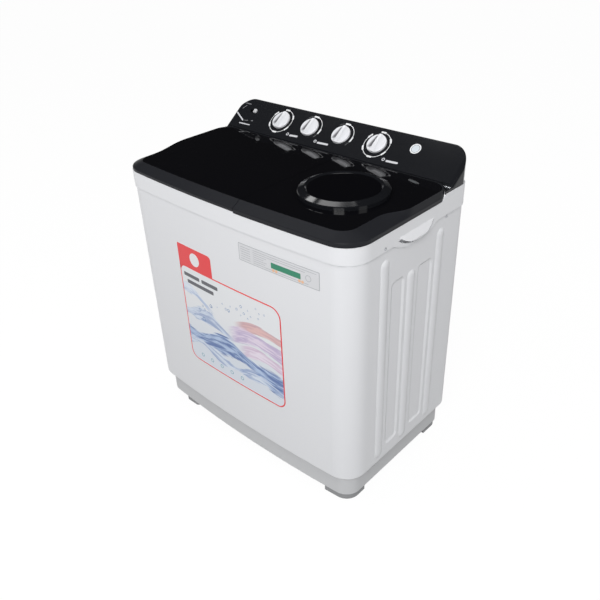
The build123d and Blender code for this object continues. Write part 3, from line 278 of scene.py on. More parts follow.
# %% [markdown]
# ## Shared finishes
#
# Two effects come back on many pieces. Moulded plastic is never quite even: it has a fine grain and
# slow clouds of colour. Polished plastic carries faint smears where hands have wiped it. Each is a
# node group with named inputs, built once and placed with its own values.

# %% Group: moulded grain
CLOUD_SCALE = 5.0         # clouds per metre
CLOUD_ROUGH = 3.0         # how much stronger they are in the roughness than in the colour


def new_group(name, inputs, outputs):
    """Shader node group; inputs are given as name: (kind, default), outputs as name: kind."""
    group = bpy.data.node_groups.new(name, "ShaderNodeTree")
    for label, (kind, value) in inputs.items():
        socket = group.interface.new_socket(label, in_out="INPUT", socket_type=kind)
        socket.default_value = value
    for label, kind in outputs.items():
        group.interface.new_socket(label, in_out="OUTPUT", socket_type=kind)
    given = group.nodes.new("NodeGroupInput").outputs
    made = group.nodes.new("NodeGroupOutput").inputs
    return group, given, made


def place_noise(tree, scale, detail=2.0):
    """Noise on Object coordinates; scale is in turns per metre."""
    coords = tree.nodes.new("ShaderNodeTexCoord")
    noise = tree.nodes.new("ShaderNodeTexNoise")
    noise.inputs["Detail"].default_value = detail
    tree.links.new(coords.outputs["Object"], noise.inputs["Vector"])
    feed(tree, noise.inputs["Scale"], scale)
    return noise.outputs["Fac"]


def build_grain():
    """Colour varies by slow clouds, roughness by the same clouds, height by a fine grain."""
    group, given, made = new_group(
        "moulded_grain",
        {
            "Color": ("NodeSocketColor", (0.8, 0.8, 0.8, 1)),
            "Roughness": ("NodeSocketFloat", 0.4),
            "Clouds": ("NodeSocketFloat", 0.03),
            "Grain Scale": ("NodeSocketFloat", 900.0),
        },
        {"Color": "NodeSocketColor", "Roughness": "NodeSocketFloat", "Height": "NodeSocketFloat"},
    )
    clouds = link_math(group, "SUBTRACT", place_noise(group, CLOUD_SCALE), 0.5)
    uneven = link_math(group, "MULTIPLY", clouds, given["Clouds"])
    tone = group.nodes.new("ShaderNodeVectorMath")
    tone.operation = "SCALE"
    group.links.new(given["Color"], tone.inputs[0])
    group.links.new(link_math(group, "ADD", uneven, 1.0), tone.inputs["Scale"])
    group.links.new(tone.outputs["Vector"], made["Color"])
    spread = link_math(group, "MULTIPLY", uneven, CLOUD_ROUGH)
    rough = link_math(group, "ADD", given["Roughness"], spread, clamp=True)
    group.links.new(rough, made["Roughness"])
    group.links.new(place_noise(group, given["Grain Scale"], 1.0), made["Height"])
    return group


GRAIN = build_grain()
print("group", GRAIN.name)

# %% Group: wiping smears
SMEAR_SCALE = (4.0, 14.0, 14.0)   # smears per metre along the width, the depth and the height
SMEAR_TURN = 0.5                  # how far a wiping hand strays from the width, in radians
SMEAR_FADES = (0.45, 0.75)        # noise where a smear starts and is full


def build_wiping():
    """Smears: noise stretched along the width, sharpened, added to the roughness."""
    group, given, made = new_group(
        "wiping_smears",
        {"Roughness": ("NodeSocketFloat", 0.06), "Amount": ("NodeSocketFloat", 0.03)},
        {"Roughness": "NodeSocketFloat"},
    )
    coords = group.nodes.new("ShaderNodeTexCoord")
    stretch = group.nodes.new("ShaderNodeMapping")
    stretch.inputs["Scale"].default_value = SMEAR_SCALE
    stretch.inputs["Rotation"].default_value = (0, 0, SMEAR_TURN)
    group.links.new(coords.outputs["Object"], stretch.inputs["Vector"])
    noise = group.nodes.new("ShaderNodeTexNoise")
    noise.inputs["Scale"].default_value = 1.0
    noise.inputs["Detail"].default_value = 4.0
    group.links.new(stretch.outputs["Vector"], noise.inputs["Vector"])
    smear = link_ramp(group, noise.outputs["Fac"], *SMEAR_FADES)
    added = link_math(group, "MULTIPLY", smear, given["Amount"])
    group.links.new(link_math(group, "ADD", given["Roughness"], added), made["Roughness"])
    return group


WIPING = build_wiping()
print("group", WIPING.name)

# %% [markdown]
# ## Plastics and metals
#
# A colour is easier to think of as it shows on a screen, so each finish is stated that way, from 0
# to 255, and changed to the linear value that the shader wants. Two makers serve all finishes: one
# for whatever has a grain, and one for the smooth black plastics.

# %% Makers of materials
def shown(red, green, blue):
    """Linear colour of a screen colour: the standard curve, (c + 0.055) / 1.055 to the 2.4."""
    levels = np.array([red, green, blue]) / 255
    linear = np.where(levels <= 0.04045, levels / 12.92, ((levels + 0.055) / 1.055) ** 2.4)
    return tuple(float(v) for v in linear)


def start_material(name, metallic=0.0, ior=1.45):
    """Plain Principled material; what is the same all over is set on its own sockets."""
    material = bpy.data.materials.new(name)
    material.use_nodes = True
    shader = material.node_tree.nodes["Principled BSDF"]
    shader.inputs["Metallic"].default_value = metallic
    shader.inputs["IOR"].default_value = ior
    return material, material.node_tree, shader


def place_group(tree, group, **values):
    """A node group with plain values; an underscore in a name stands for a space."""
    node = tree.nodes.new("ShaderNodeGroup")
    node.node_tree = group
    for label, value in values.items():
        node.inputs[label.replace("_", " ")].default_value = value
    return node


def moulded(name, colour, roughness, clouds=0.03, grain=900.0, bump=0.00002, **kind):
    """Moulded plastic, paint or cast metal: the shared grain in colour, roughness and height."""
    material, tree, shader = start_material(name, **kind)
    group = place_group(tree, GRAIN, Color=(*shown(*colour), 1), Roughness=roughness,
                        Clouds=clouds, Grain_Scale=grain)
    tree.links.new(group.outputs["Color"], shader.inputs["Base Color"])
    tree.links.new(group.outputs["Roughness"], shader.inputs["Roughness"])
    relief = tree.nodes.new("ShaderNodeBump")
    relief.inputs["Distance"].default_value = bump
    tree.links.new(group.outputs["Height"], relief.inputs["Height"])
    tree.links.new(relief.outputs["Normal"], shader.inputs["Normal"])
    return material


def polished(name, colour, roughness, smears=0.03, ior=1.45):
    """Smooth black plastic with wiping smears."""
    material, tree, shader = start_material(name, ior=ior)
    shader.inputs["Base Color"].default_value = (*shown(*colour), 1)
    group = place_group(tree, WIPING, Roughness=roughness, Amount=smears)
    tree.links.new(group.outputs["Roughness"], shader.inputs["Roughness"])
    return material


print("white paint in linear light", round(shown(226, 227, 230)[0], 3))

# %% Finishes
FINISH = {
    "cabinet": moulded("cabinet_white", (226, 227, 230), 0.38, clouds=0.02),
    "deck": moulded("deck_white", (228, 229, 232), 0.30, clouds=0.02),
    # the base is pale plastic; its colour is darkened as painted shade for the shade under the
    # cabinet's overhang
    "base": moulded("base_white_painted_shade", (202, 203, 205), 0.50),
    # the feet are grey, and darker still as painted shade for their place under the machine
    "foot": moulded("foot_grey", (150, 151, 153), 0.60, clouds=0.08, grain=500, bump=0.0001),
    "tub": moulded("tub_white", (222, 226, 230), 0.35),
    "band": moulded("lid_charcoal", (31, 32, 36), 0.42, clouds=0.05, grain=1200, ior=1.25),
    "gloss": polished("lid_gloss", (9, 9, 12), 0.05),
    "panel": polished("panel_black", (25, 26, 29), 0.16, ior=1.3),
    "collar": polished("collar_black", (20, 21, 24), 0.10, smears=0.02),
    "window": polished("window_dark", (6, 6, 9), 0.03, smears=0.02),
    "knob": moulded("knob_silver", (214, 215, 219), 0.32, metallic=0.45),
    "dark": moulded("dark_plastic", (40, 40, 43), 0.50, clouds=0.06),
    "cream": moulded("case_cream", (214, 208, 190), 0.50, clouds=0.05),
    "steel": moulded("steel", (178, 180, 184), 0.28, clouds=0.06, grain=2200, metallic=1.0),
    "cast": moulded("cast_aluminium", (176, 178, 181), 0.45, clouds=0.10, grain=600,
                    bump=0.0001, metallic=1.0),
    "motor": moulded("motor_paint", (88, 92, 97), 0.45, clouds=0.08),
    "rubber": moulded("rubber", (28, 28, 29), 0.75, clouds=0.10, grain=400, bump=0.0001),
    "lever": moulded("lever_grey", (196, 197, 199), 0.35),
}
print("finishes", len(FINISH))

# %% What each node wears
KNOBS = ("wash_timer_knob", "wash_selector_knob", "drain_selector_knob", "spin_timer_knob")
WORN_BY = {
    "cabinet": ("cabinet", "rear_cover"),
    "deck": ("top_deck",),
    "base": ("base",),
    "foot": ("feet",),
    "tub": ("twin_tub", "pulsator", "balance_ring", "overflow_cover"),
    "band": ("wash_lid", "spin_lid"),
    "gloss": ("wash_lid_gloss", "spin_lid_gloss"),
    "panel": ("control_panel",),
    "collar": ("spin_lid_ring",),
    "window": ("spin_lid_window",),
    "knob": KNOBS,
    "dark": ("panel_back_cover", "water_inlet", "drain_valve", "capacitor"),
    "cream": ("wash_timer", "wash_selector", "drain_selector", "spin_timer"),
    "lever": ("water_lever", "drain_outlet", "lint_filter"),
    "steel": ("wash_lid_pins", "spin_lid_pins", "pulsator_screw", "pulsator_shaft", "motor_shaft",
              "spin_shaft", "rear_cover_screws", "deck_screws"),
    "cast": ("wash_pulley", "gearbox", "motor_pulley", "brake_drum"),
    "motor": ("wash_motor", "spin_motor"),
    "rubber": ("drive_belt", "spin_motor_mounts", "spin_seal", "drain_plunger"),
}


def wear(node, material):
    """Gives every slot of a node's mesh one material."""
    slots = NODES[node].data.materials
    slots.clear()
    slots.append(material)


for finish, nodes in WORN_BY.items():
    for node in nodes:
        wear(node, FINISH[finish])
print("nodes that wear one finish", sum(len(nodes) for nodes in WORN_BY.values()))

# %% [markdown]
# ## Spin basket
#
# The basket is a thin drum with rows of small holes. Hundreds of real holes would make a heavy
# mesh for what is seen only through the open lid, so they are cut in the material: the angle round
# the drum and the height are divided into cells, each cell has a disc in its middle, and the disc
# is clear. Every second row is moved by half a cell. The floor, the rim and whatever lies inside
# the wall stay solid.

# %% Basket with holes
HOLES_ROUND = 60
ROW_UP = 0.017            # height of a row
HOLE_R = 0.0028
HOLES_FROM, HOLES_TO = 0.39, 0.765
WALL_IN = 0.004           # the wall lies within this of the outside


def perforated(name, centre, radius):
    """Plastic with a staggered grid of round holes: clear near the middle of a cell."""
    material = moulded(name, (222, 226, 230), 0.35)
    tree = material.node_tree
    across = 2 * pi * radius / HOLES_ROUND
    x, y, z = object_axes(tree)
    x = link_math(tree, "SUBTRACT", x, centre[0])
    y = link_math(tree, "SUBTRACT", y, centre[1])
    row = link_math(tree, "DIVIDE", z, ROW_UP)
    odd = link_math(tree, "MODULO", link_math(tree, "FLOOR", row), 2.0)
    column = link_math(tree, "MULTIPLY", link_math(tree, "ARCTAN2", y, x), radius / across)
    column = link_math(tree, "ADD", column, link_math(tree, "MULTIPLY", odd, 0.5))
    offs = []
    for count, pitch in ((column, across), (row, ROW_UP)):
        share = link_math(tree, "SUBTRACT", link_math(tree, "FRACT", count), 0.5)
        offs.append(link_math(tree, "MULTIPLY", share, pitch))
    solid = link_math(tree, "GREATER_THAN", link_hypot(tree, *offs), HOLE_R)
    inside = link_math(tree, "LESS_THAN", link_hypot(tree, x, y), radius - WALL_IN)
    below = link_math(tree, "LESS_THAN", z, HOLES_FROM)
    above = link_math(tree, "GREATER_THAN", z, HOLES_TO)
    kept = link_math(tree, "MAXIMUM", solid, inside, below, above)
    tree.links.new(kept, tree.nodes["Principled BSDF"].inputs["Alpha"])
    return material


low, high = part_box("spin_basket")
SPIN_AXIS = ((low.x + high.x) / 2, (low.y + high.y) / 2)
DRUM_R = (high.x - low.x) / 2
wear("spin_basket", perforated("basket_white", SPIN_AXIS, DRUM_R))
print("basket axis", [round(v, 3) for v in SPIN_AXIS], "radius", round(DRUM_R, 3))

# %% [markdown]
# ## Printed marks
#
# The marks round the knobs are pad printed: a film of pale ink on the black slope. Here each film
# is a very flat solid. It lies between two rails, such as the inner and the outer arc of a ring,
# and a small function says where a point of the plane lies in space. The same maker then serves the
# flat slope and the bowed front.

# %% Rails
SLIT = 0.5                # a full ring has two ends, this many degrees from its top
END_SLIVER = 0.02         # share of its half width that a pill keeps at its very ends


def arc_rails(x, s, inner, outer, start, end, step=4.0):
    """Ring sector; angles in degrees clockwise from up: x + r sin(a), s + r cos(a)."""
    a = np.radians(np.linspace(start, end, max(3, int(abs(end - start) / step) + 2)))
    return [np.stack([x + r * np.sin(a), s + r * np.cos(a)], 1) for r in (inner, outer)]


def ring_rails(x, s, inner, outer, step):
    """Full ring, open by a hair at its top."""
    return arc_rails(x, s, inner, outer, SLIT, 360 - SLIT, step)


def pill_rails(x0, s0, x1, s1, width):
    """Straight mark with round ends: half its width falls as a circle beyond both end points."""
    along = np.array([x1 - x0, s1 - s0])
    length = np.linalg.norm(along)
    along /= length
    half = width / 2
    turn = np.linspace(-1, 1, 9)
    t = np.concatenate([half * turn[:5], length + half * turn[4:]])
    past = np.maximum(-t, t - length).clip(0)
    reach = np.sqrt(np.maximum(half**2 - past**2, 0)) + half * END_SLIVER
    middle = np.array([x0, s0]) + t[:, None] * along
    side = np.array([-along[1], along[0]]) * reach[:, None]
    return [middle - side, middle + side]


print("points of a full ring", len(ring_rails(0, 0, 1, 2, 12)[0]))

# %% Films of ink
INK_LIFT = 0.00003        # underside of a film above its surface
INK_T = 0.00012           # its thickness


def films(name, strips, place, material, body="body", lift=INK_LIFT, thick=INK_T):
    """One piece of flat closed strips, each between two rails of equally many points."""
    points, faces, start = [], [], 0
    for low_rail, high_rail in strips:
        n = len(low_rail)
        flat = np.vstack([low_rail, high_rail])
        points += [place(flat[:, 0], flat[:, 1], level) for level in (lift, lift + thick)]
        i = np.arange(n - 1)
        low, high, top = start, start + n, 2 * n
        quads = [
            [low + i + top, low + i + 1 + top, high + i + 1 + top, high + i + top],
            [low + i, high + i, high + i + 1, low + i + 1],
            [low + i, low + i + 1, low + i + 1 + top, low + i + top],
            [high + i + 1, high + i, high + i + top, high + i + 1 + top],
        ]
        faces += [np.stack(quad, 1) for quad in quads]
        faces.append(np.array([
            [low, low + top, high + top, high],
            [low + n - 1, high + n - 1, high + n - 1 + top, low + n - 1 + top],
        ]))
        start += 4 * n
    mesh = bpy.data.meshes.new(name)
    mesh.from_pydata(np.concatenate(points).tolist(), [], np.concatenate(faces).tolist())
    mesh.materials.append(material)
    piece = new_object(name, mesh)
    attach(piece, body)


print("ink", INK_T * 1000, "mm thick")

# %% [markdown]
# The slope of the panel is found from the knobs: every knob turns about the normal of the slope,
# and its joint sits on it. Distances up the slope are counted from its foot, as the panel has them.

# %% The slope
KNOB_S = 0.060            # middle of the knobs, up the slope
TURNS = [JOINTS[knob.replace("_knob", "_turn")] for knob in KNOBS]
KNOB_AT = [Vector(joint["pos_m"]) for joint in TURNS]
OUT = -Vector(TURNS[0]["axis"]).normalized()
UP = Vector((0, OUT.z, -OUT.y))


def on_slope(x, s, h):
    """Slope point: knob point + (s - knob s) up the slope + h along its normal."""
    base = KNOB_AT[0]
    x = np.asarray(x, float)
    return np.stack([x + h * OUT.x, base.y + (s - KNOB_S) * UP.y + h * OUT.y + 0 * x,
                     base.z + (s - KNOB_S) * UP.z + h * OUT.z + 0 * x], 1)


print("slope rises", [round(v, 3) for v in UP], "knobs at", [round(at.x, 3) for at in KNOB_AT])

# %% [markdown]
# Both timers have a ring with six thick blocks, and both selectors an arc with a block at each
# end. Where a real panel has words or signs, this one has plain pills and a disc in a ring.

# %% Dials
INK = moulded("ink_white", (226, 227, 229), 0.45, clouds=0.10, grain=2600)
FAINT_INK = moulded("ink_grey", (112, 113, 116), 0.5, clouds=0.10, grain=2600)
RING_IN, RING_OUT = 0.0407, 0.0423
RING_OFF = (-0.0010, -0.0008)   # the prints sit a little off the knobs' middles
BLOCK_IN, BLOCK_OUT = 0.0393, 0.0446
BLOCK_EVERY, BLOCK_HALF = 60.5, 11
TIMER_END = 312
SELECTOR_END = 104
SELECTOR_BLOCKS = ((-11, 15), (84, 108))
FAINT_ENDS = ((104, 132), (-40, -8))    # where a selector's arc goes on, but hardly shows
FAINT_OUT = RING_OUT - 0.0006


def dial(x, start, end, blocks):
    """Arc of a ring with thick blocks on it, all in degrees clockwise from up."""
    x, s = x + RING_OFF[0], KNOB_S + RING_OFF[1]
    strips = [arc_rails(x, s, RING_IN, RING_OUT, start, end)]
    return strips + [arc_rails(x, s, BLOCK_IN, BLOCK_OUT, first, last) for first, last in blocks]


timer_blocks = [(at - BLOCK_HALF, at + BLOCK_HALF) for at in np.arange(0, 360, BLOCK_EVERY)]
marks = []
for index in (0, 3):
    marks += dial(KNOB_AT[index].x, -BLOCK_HALF, TIMER_END, timer_blocks)
for index in (1, 2):
    marks += dial(KNOB_AT[index].x, 0, SELECTOR_END, SELECTOR_BLOCKS)
films("panel_marks", marks, on_slope, INK)
print("dial marks", len(marks))

# %% Pills and disc
LABELS = ((-0.167, -0.128, 0.0185, 0.0205), (-0.054, -0.006, 0.0185, 0.0200),
          (0.197, 0.243, 0.0175, 0.0190))
STROKES = ((-0.417, 0.052, -0.373, 0.029, 0.0042), (-0.380, 0.0170, -0.335, 0.0180, 0.0036))
FAINT_STROKES = (
    (-0.406, 0.0930, -0.382, 0.0920, 0.0030), (-0.405, 0.071, -0.396, 0.084, 0.0026),
    (-0.366, 0.030, -0.352, 0.032, 0.0022), (-0.337, 0.034, -0.333, 0.035, 0.0040),
)
PILL_FROM, PILL_WIDE = 0.012, 0.0062    # from the small ring to its pill, and the pill's width
SMALL_RING = (0.0026, 0.0050)
SMALL_UP = 0.0025
DISC_AT = (0.271, 0.075)


def label(x0, x1, s0, s1):
    """A pill, which stands where a word would be, and the small ring before it."""
    return [pill_rails(x0 + PILL_FROM, s0, x1, s1, PILL_WIDE),
            arc_rails(x0, s0 + SMALL_UP, *SMALL_RING, 0, 360, 20)]


pale = [strip for place in LABELS for strip in label(*place)]
pale += [pill_rails(*stroke) for stroke in STROKES]
films("panel_labels", pale, on_slope,
      moulded("ink_label", (192, 193, 197), 0.45, clouds=0.20, grain=2600))
films("panel_disc", [ring_rails(*DISC_AT, 0.0001, 0.0118, 12)], on_slope,
      moulded("disc_blue_grey", (196, 203, 209), 0.40, clouds=0.10))
films("panel_disc_rim", [ring_rails(*DISC_AT, 0.0128, 0.0160, 12)], on_slope, INK)
faint = [pill_rails(*stroke) for stroke in FAINT_STROKES]
for knob in KNOB_AT[1:3]:
    for start, end in FAINT_ENDS:
        faint.append(arc_rails(knob.x, KNOB_S, RING_IN, FAINT_OUT, start, end))
films("panel_faint_marks", faint, on_slope, FAINT_INK)
print("other marks", len(pale) + len(faint))

# %% [markdown]
# ## Knobs
#
# A knob is a low disc with a finger bar across it. Its face is one surface over a round grid: the
# disc is a little dished and has a rounded rim, the bar stands on it and falls a little towards
# both of its ends, and its flanks are quarter circles, so that fingertips find a hollow on both
# sides.

# %% Face of a knob
KNOB_R = 0.030
KNOB_GAP = 0.0008         # between the knob and the slope
DISC_H = 0.0066           # top of the disc above the slope
BAR_H = 0.0116            # top of the bar at its highest
BAR_PEAK = -0.1           # where that is, as a share of the radius
BAR_FALL = 0.25           # share of the bar's rise that is gone at its ends
SCOOP = 0.0095            # width of a flank
EDGE_R, EDGE_CUT = 0.0010, 0.0004       # rounding of the bar's edges: its width and its depth
DISH = 0.0006
RIM_FROM, RIM_FALL = 0.953, 0.0014      # where the rim's rounding starts, and how deep it goes


def bar_half(s):
    """Half width of the bar: 6.6 mm at its lower end, 5.0 at the end that points."""
    return 0.0058 - 0.0008 * s / KNOB_R


def face_height(x, s):
    """Disc, or bar with flanks h = disc + rise * (1 - sqrt(1 - (1 - t)^2)), t across the flank."""
    rise = (BAR_H - DISC_H) * (1 - BAR_FALL * np.abs(s / KNOB_R - BAR_PEAK) ** 2.2)
    past = np.abs(x) - bar_half(s)
    t = (past / SCOOP).clip(0, 1)
    edge = 1 - np.sqrt((1 - (1 - t) ** 2).clip(0))
    rounded = np.exp(-(past / EDGE_R) ** 2) * EDGE_CUT
    dish = DISH * (1 - (x**2 + s**2) / KNOB_R**2)
    rim = ((np.hypot(x, s) / KNOB_R - RIM_FROM) / (1 - RIM_FROM)).clip(0, 1)
    fall = RIM_FALL * (1 - np.sqrt(1 - rim**2))
    return DISC_H - dish + (rise + dish) * edge - rounded - fall


print("bar", round(1000 * (BAR_H - DISC_H), 1), "mm above the disc")

# %% [markdown]
# Left of the bar the disc gets painted shade: a dark tone that stands in for the bar's cast shadow
# and the dark reflection in the hollow. It is drawn in the knob's own plane: the object's place
# less the knob's middle, split into across and up the slope. It is widest near the lower end, thins
# towards the end that points, and fades away from the bar. A small white dot, a painted highlight,
# closes its lower end.

# %% Knob finish with painted shade
# Painted shade: a dark tone that stands in for the bar's cast shadow and the dark hollow on its
# left.
KNOB_SHADE = (66, 67, 72)
KNOB_SHADE_FROM = 0.0060       # from the knob's middle to the painted shade's sharp edge
KNOB_SHADE_WIDE = 0.0165       # at the knob's middle
KNOB_SHADE_THINS = 0.36        # loss of width per length up the slope
KNOB_SHADE_COVERS = 0.9
MIDDLE_FADES = (1.0, 0.42)              # shares of the width between which it fades out
EDGE_FADES = (-0.0006, 0.0004)
TAIL_FADES = (-0.0220, -0.0120)
TIP_FADES = (0.0240, 0.0200)


def knob_silver(node, place_x):
    """Silver paint, with painted shade for the bar's shadow mixed in by across and up the slope."""
    material = moulded(node + "_silver", (219, 220, 224), 0.34, metallic=0.15)
    tree = material.node_tree
    x, y, z = object_axes(tree)
    across = link_math(tree, "SUBTRACT", place_x, x)
    rise = link_math(tree, "MULTIPLY", link_math(tree, "SUBTRACT", z, KNOB_AT[0].z), UP.z)
    run = link_math(tree, "MULTIPLY", link_math(tree, "SUBTRACT", y, KNOB_AT[0].y), UP.y)
    up = link_math(tree, "ADD", rise, run)
    off_bar = link_math(tree, "SUBTRACT", across, KNOB_SHADE_FROM)
    wide = link_math(tree, "SUBTRACT", KNOB_SHADE_WIDE, link_math(tree, "MULTIPLY", up, KNOB_SHADE_THINS))
    fade = link_ramp(tree, link_math(tree, "DIVIDE", off_bar, wide), *MIDDLE_FADES)
    edge = link_ramp(tree, off_bar, *EDGE_FADES)
    tail = link_ramp(tree, up, *TAIL_FADES)
    tip = link_ramp(tree, up, *TIP_FADES)
    # painted shade mask: where the bar's shadow falls on the disc
    mask = link_math(tree, "MULTIPLY", fade, edge, tail, tip, KNOB_SHADE_COVERS)
    mixed = link_mix(tree, mask, tree.nodes["Group"].outputs["Color"], shown(*KNOB_SHADE))
    tree.links.new(mixed, tree.nodes["Principled BSDF"].inputs["Base Color"])
    return material


print("painted_knob_shade", round(1000 * KNOB_SHADE_WIDE, 1), "mm wide")

# %% Knob as one closed mesh
AROUND = 144
RING_R = np.concatenate([np.linspace(0, 0.95, 44)[1:], 1 - 0.05 * np.linspace(0.9, 0, 9) ** 1.5])
SKIRT_CUT = 0.0004        # small slant between the skirt and the underside
STEM_R, STEM_DEEP = 0.0030, 0.020
SHARP = radians(38)


def knob_points():
    """Rings of the face from the middle out, then skirt, underside and stem; two middles last."""
    a = np.linspace(0, 2 * pi, AROUND, endpoint=False)
    x = KNOB_R * np.outer(RING_R, np.sin(a))
    s = KNOB_R * np.outer(RING_R, np.cos(a))
    h = face_height(x, s)
    below = [(KNOB_R, KNOB_GAP + SKIRT_CUT), (KNOB_R - SKIRT_CUT, KNOB_GAP),
             (STEM_R, KNOB_GAP), (STEM_R, -STEM_DEEP)]
    for r, level in below:
        x = np.vstack([x, r * np.sin(a)])
        s = np.vstack([s, r * np.cos(a)])
        h = np.vstack([h, np.full(AROUND, level)])
    middle = [[0, 0, face_height(np.zeros(1), np.zeros(1))[0]], [0, 0, -STEM_DEEP]]
    return np.vstack([np.stack([x.ravel(), s.ravel(), h.ravel()], 1), middle]), len(x)


def knob_faces(rows):
    """Quads between the rings, and a fan of triangles at each of the two middles."""
    r, c = np.meshgrid(np.arange(rows - 1), np.arange(AROUND), indexing="ij")
    r, c = r.ravel() * AROUND, c.ravel()
    d = (c + 1) % AROUND
    quads = np.stack([r + c, r + AROUND + c, r + AROUND + d, r + d], 1)
    c = np.arange(AROUND)
    d = (c + 1) % AROUND
    last = (rows - 1) * AROUND
    top = np.stack([np.full(AROUND, rows * AROUND), c, d], 1)
    bottom = np.stack([np.full(AROUND, rows * AROUND + 1), last + d, last + c], 1)
    return quads.tolist() + top.tolist() + bottom.tolist()


def knob_piece(node, place_x):
    """The knob in its place on the slope; it stands in for the plain one of the frame."""
    local, rows = knob_points()
    points = on_slope(local[:, 0] + place_x, local[:, 1] + KNOB_S, local[:, 2])
    mesh = bpy.data.meshes.new(node + "_face")
    mesh.from_pydata(points.tolist(), [], knob_faces(rows))
    mesh.shade_smooth()
    mesh.set_sharp_from_angle(angle=SHARP)
    mesh.materials.append(knob_silver(node, place_x))
    piece = new_object(node + "_face", mesh)
    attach(piece, node)
    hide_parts(node)


print("rings of a face", len(RING_R))

# %% Knobs with their dots
# Painted highlight: a white dot where the hollow's lower end would glint.
HIGHLIGHT_DOT = moulded("painted_highlight_white", (246, 246, 246), 0.30)
HIGHLIGHT_DOT_AT, HIGHLIGHT_DOT_R = (-0.0084, -0.0166), 0.0020      # painted highlight on the painted shade; from the knob's middle
MARK_AT, MARK_R = (-0.0010, -0.0262), 0.0016    # dark, at the lower end of the bar
PIN = 0.0001              # a disc is a ring round a hole as small as this


def knob_dot(name, node, knob_x, at, radius, material, lift, thick):
    """Flat disc on a knob."""
    spot = [arc_rails(knob_x + at[0], KNOB_S + at[1], PIN, radius, 1, 359, 30)]
    films(name, spot, on_slope, material, body=node, lift=lift, thick=thick)


for node, at in zip(KNOBS, KNOB_AT):
    knob_piece(node, at.x)
    # the painted highlight dot, then the dark mark
    knob_dot(node + "_dot", node, at.x, HIGHLIGHT_DOT_AT, HIGHLIGHT_DOT_R, HIGHLIGHT_DOT, DISC_H + 0.0007, 0.0005)
    knob_dot(node + "_mark", node, at.x, MARK_AT, MARK_R, FINISH["dark"], DISC_H - 0.0004, 0.0010)
print("knobs", len(KNOBS))

# %% [markdown]
# ## Stickers on the front
#
# Two thin printed sheets sit on the bowed front, which is a very wide circle seen from above. Each
# sheet is cut as flat strips from a low to a high edge and laid a hair above the enamel, and the
# print on it is a pattern of the material or a film of its own.

# %% The bowed front
BOW_R = 5.095             # radius of the front's bow, seen from above
FACET_SAG = 0.0001        # the mesh's flat facets lie up to this much inside the bow
low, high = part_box("cabinet")
FRONT_MID = low.y - FACET_SAG


def on_front(x, z, h):
    """Front point: the circle of the bow, R - sqrt(R^2 - x^2) behind its middle, h nearer."""
    x, z = np.asarray(x, float), np.asarray(z, float)
    return np.stack([x, FRONT_MID + BOW_R - np.sqrt(BOW_R**2 - x**2) - h, z], 1)


print("front", round(FRONT_MID, 4), "bow radius", BOW_R)

# %% Rails of a sheet
CORNER_PARTS = 9
THINNEST = 0.00005        # half height that a sheet keeps where its corners meet


def corner_cut(radius, from_side):
    """How far a corner arc takes the edge in: r - sqrt(r^2 - (r - distance)^2)."""
    past = (radius - from_side).clip(0)
    return radius - np.sqrt((radius**2 - past**2).clip(0))


def sheet_rails(x0, x1, z0, z1, corners, parts=28):
    """Rounded rectangle; corners are the radii at low left, low right, top right and top left."""
    turn = 1 - np.cos(np.linspace(0, pi / 2, CORNER_PARTS))
    x = np.concatenate([x0 + max(corners[0], corners[3]) * turn, np.linspace(x0, x1, parts),
                        x1 - max(corners[1], corners[2]) * turn])
    x = np.unique(np.round(x[(x >= x0) & (x <= x1)], 6))
    low = z0 + corner_cut(corners[0], x - x0) + corner_cut(corners[1], x1 - x)
    high = z1 - corner_cut(corners[3], x - x0) - corner_cut(corners[2], x1 - x)
    middle = (low + high) / 2
    low, high = np.minimum(low, middle - THINNEST), np.maximum(high, middle + THINNEST)
    return [np.stack([x, low], 1), np.stack([x, high], 1)]


def block_rails(x0, x1, z0, z1, corner, parts):
    """Small rectangle with four like corners."""
    return sheet_rails(x0, x1, z0, z1, (corner,) * 4, parts)


SHEET_LIFT = 0.0001
LAYER = 0.00016           # each sheet or print stands this much above the one below


def print_front(name, strips, material, layer):
    """Films on the front; layer 0 is the lowest sheet."""
    films(name, strips, on_front, material, lift=SHEET_LIFT + layer * LAYER)


print("layers", LAYER * 1000, "mm apart")

# %% [markdown]
# The picture on the large sheet is a free design: a swell of blue ribbons below soft pink and lilac
# ones, with soap bubbles over them. A ribbon is a band round a sine curve, whose half width swells
# and thins along it, and noise drawn out along the curve gives it the look of moving water. As the
# same band comes back many times, it is a group that gives its mask and its streaks.

# %% Group: swelling ribbon
SHAPE = ("Centre", "Slope", "Swing", "Length", "Shift", "Half", "Swell", "From", "To")
SWELLS = 1.7              # swells of the width in one wave of the line
DRAWN_ALONG, DRAWN_ACROSS = 14.0, 120.0     # streaks per metre
WOBBLE = 0.9              # how much the streaks fray the edge
EDGE_FROM_TO = (1.0, 0.72)
END_FADE = 0.05           # length over which a ribbon begins and ends
STREAK_FADES = (0.36, 0.62)


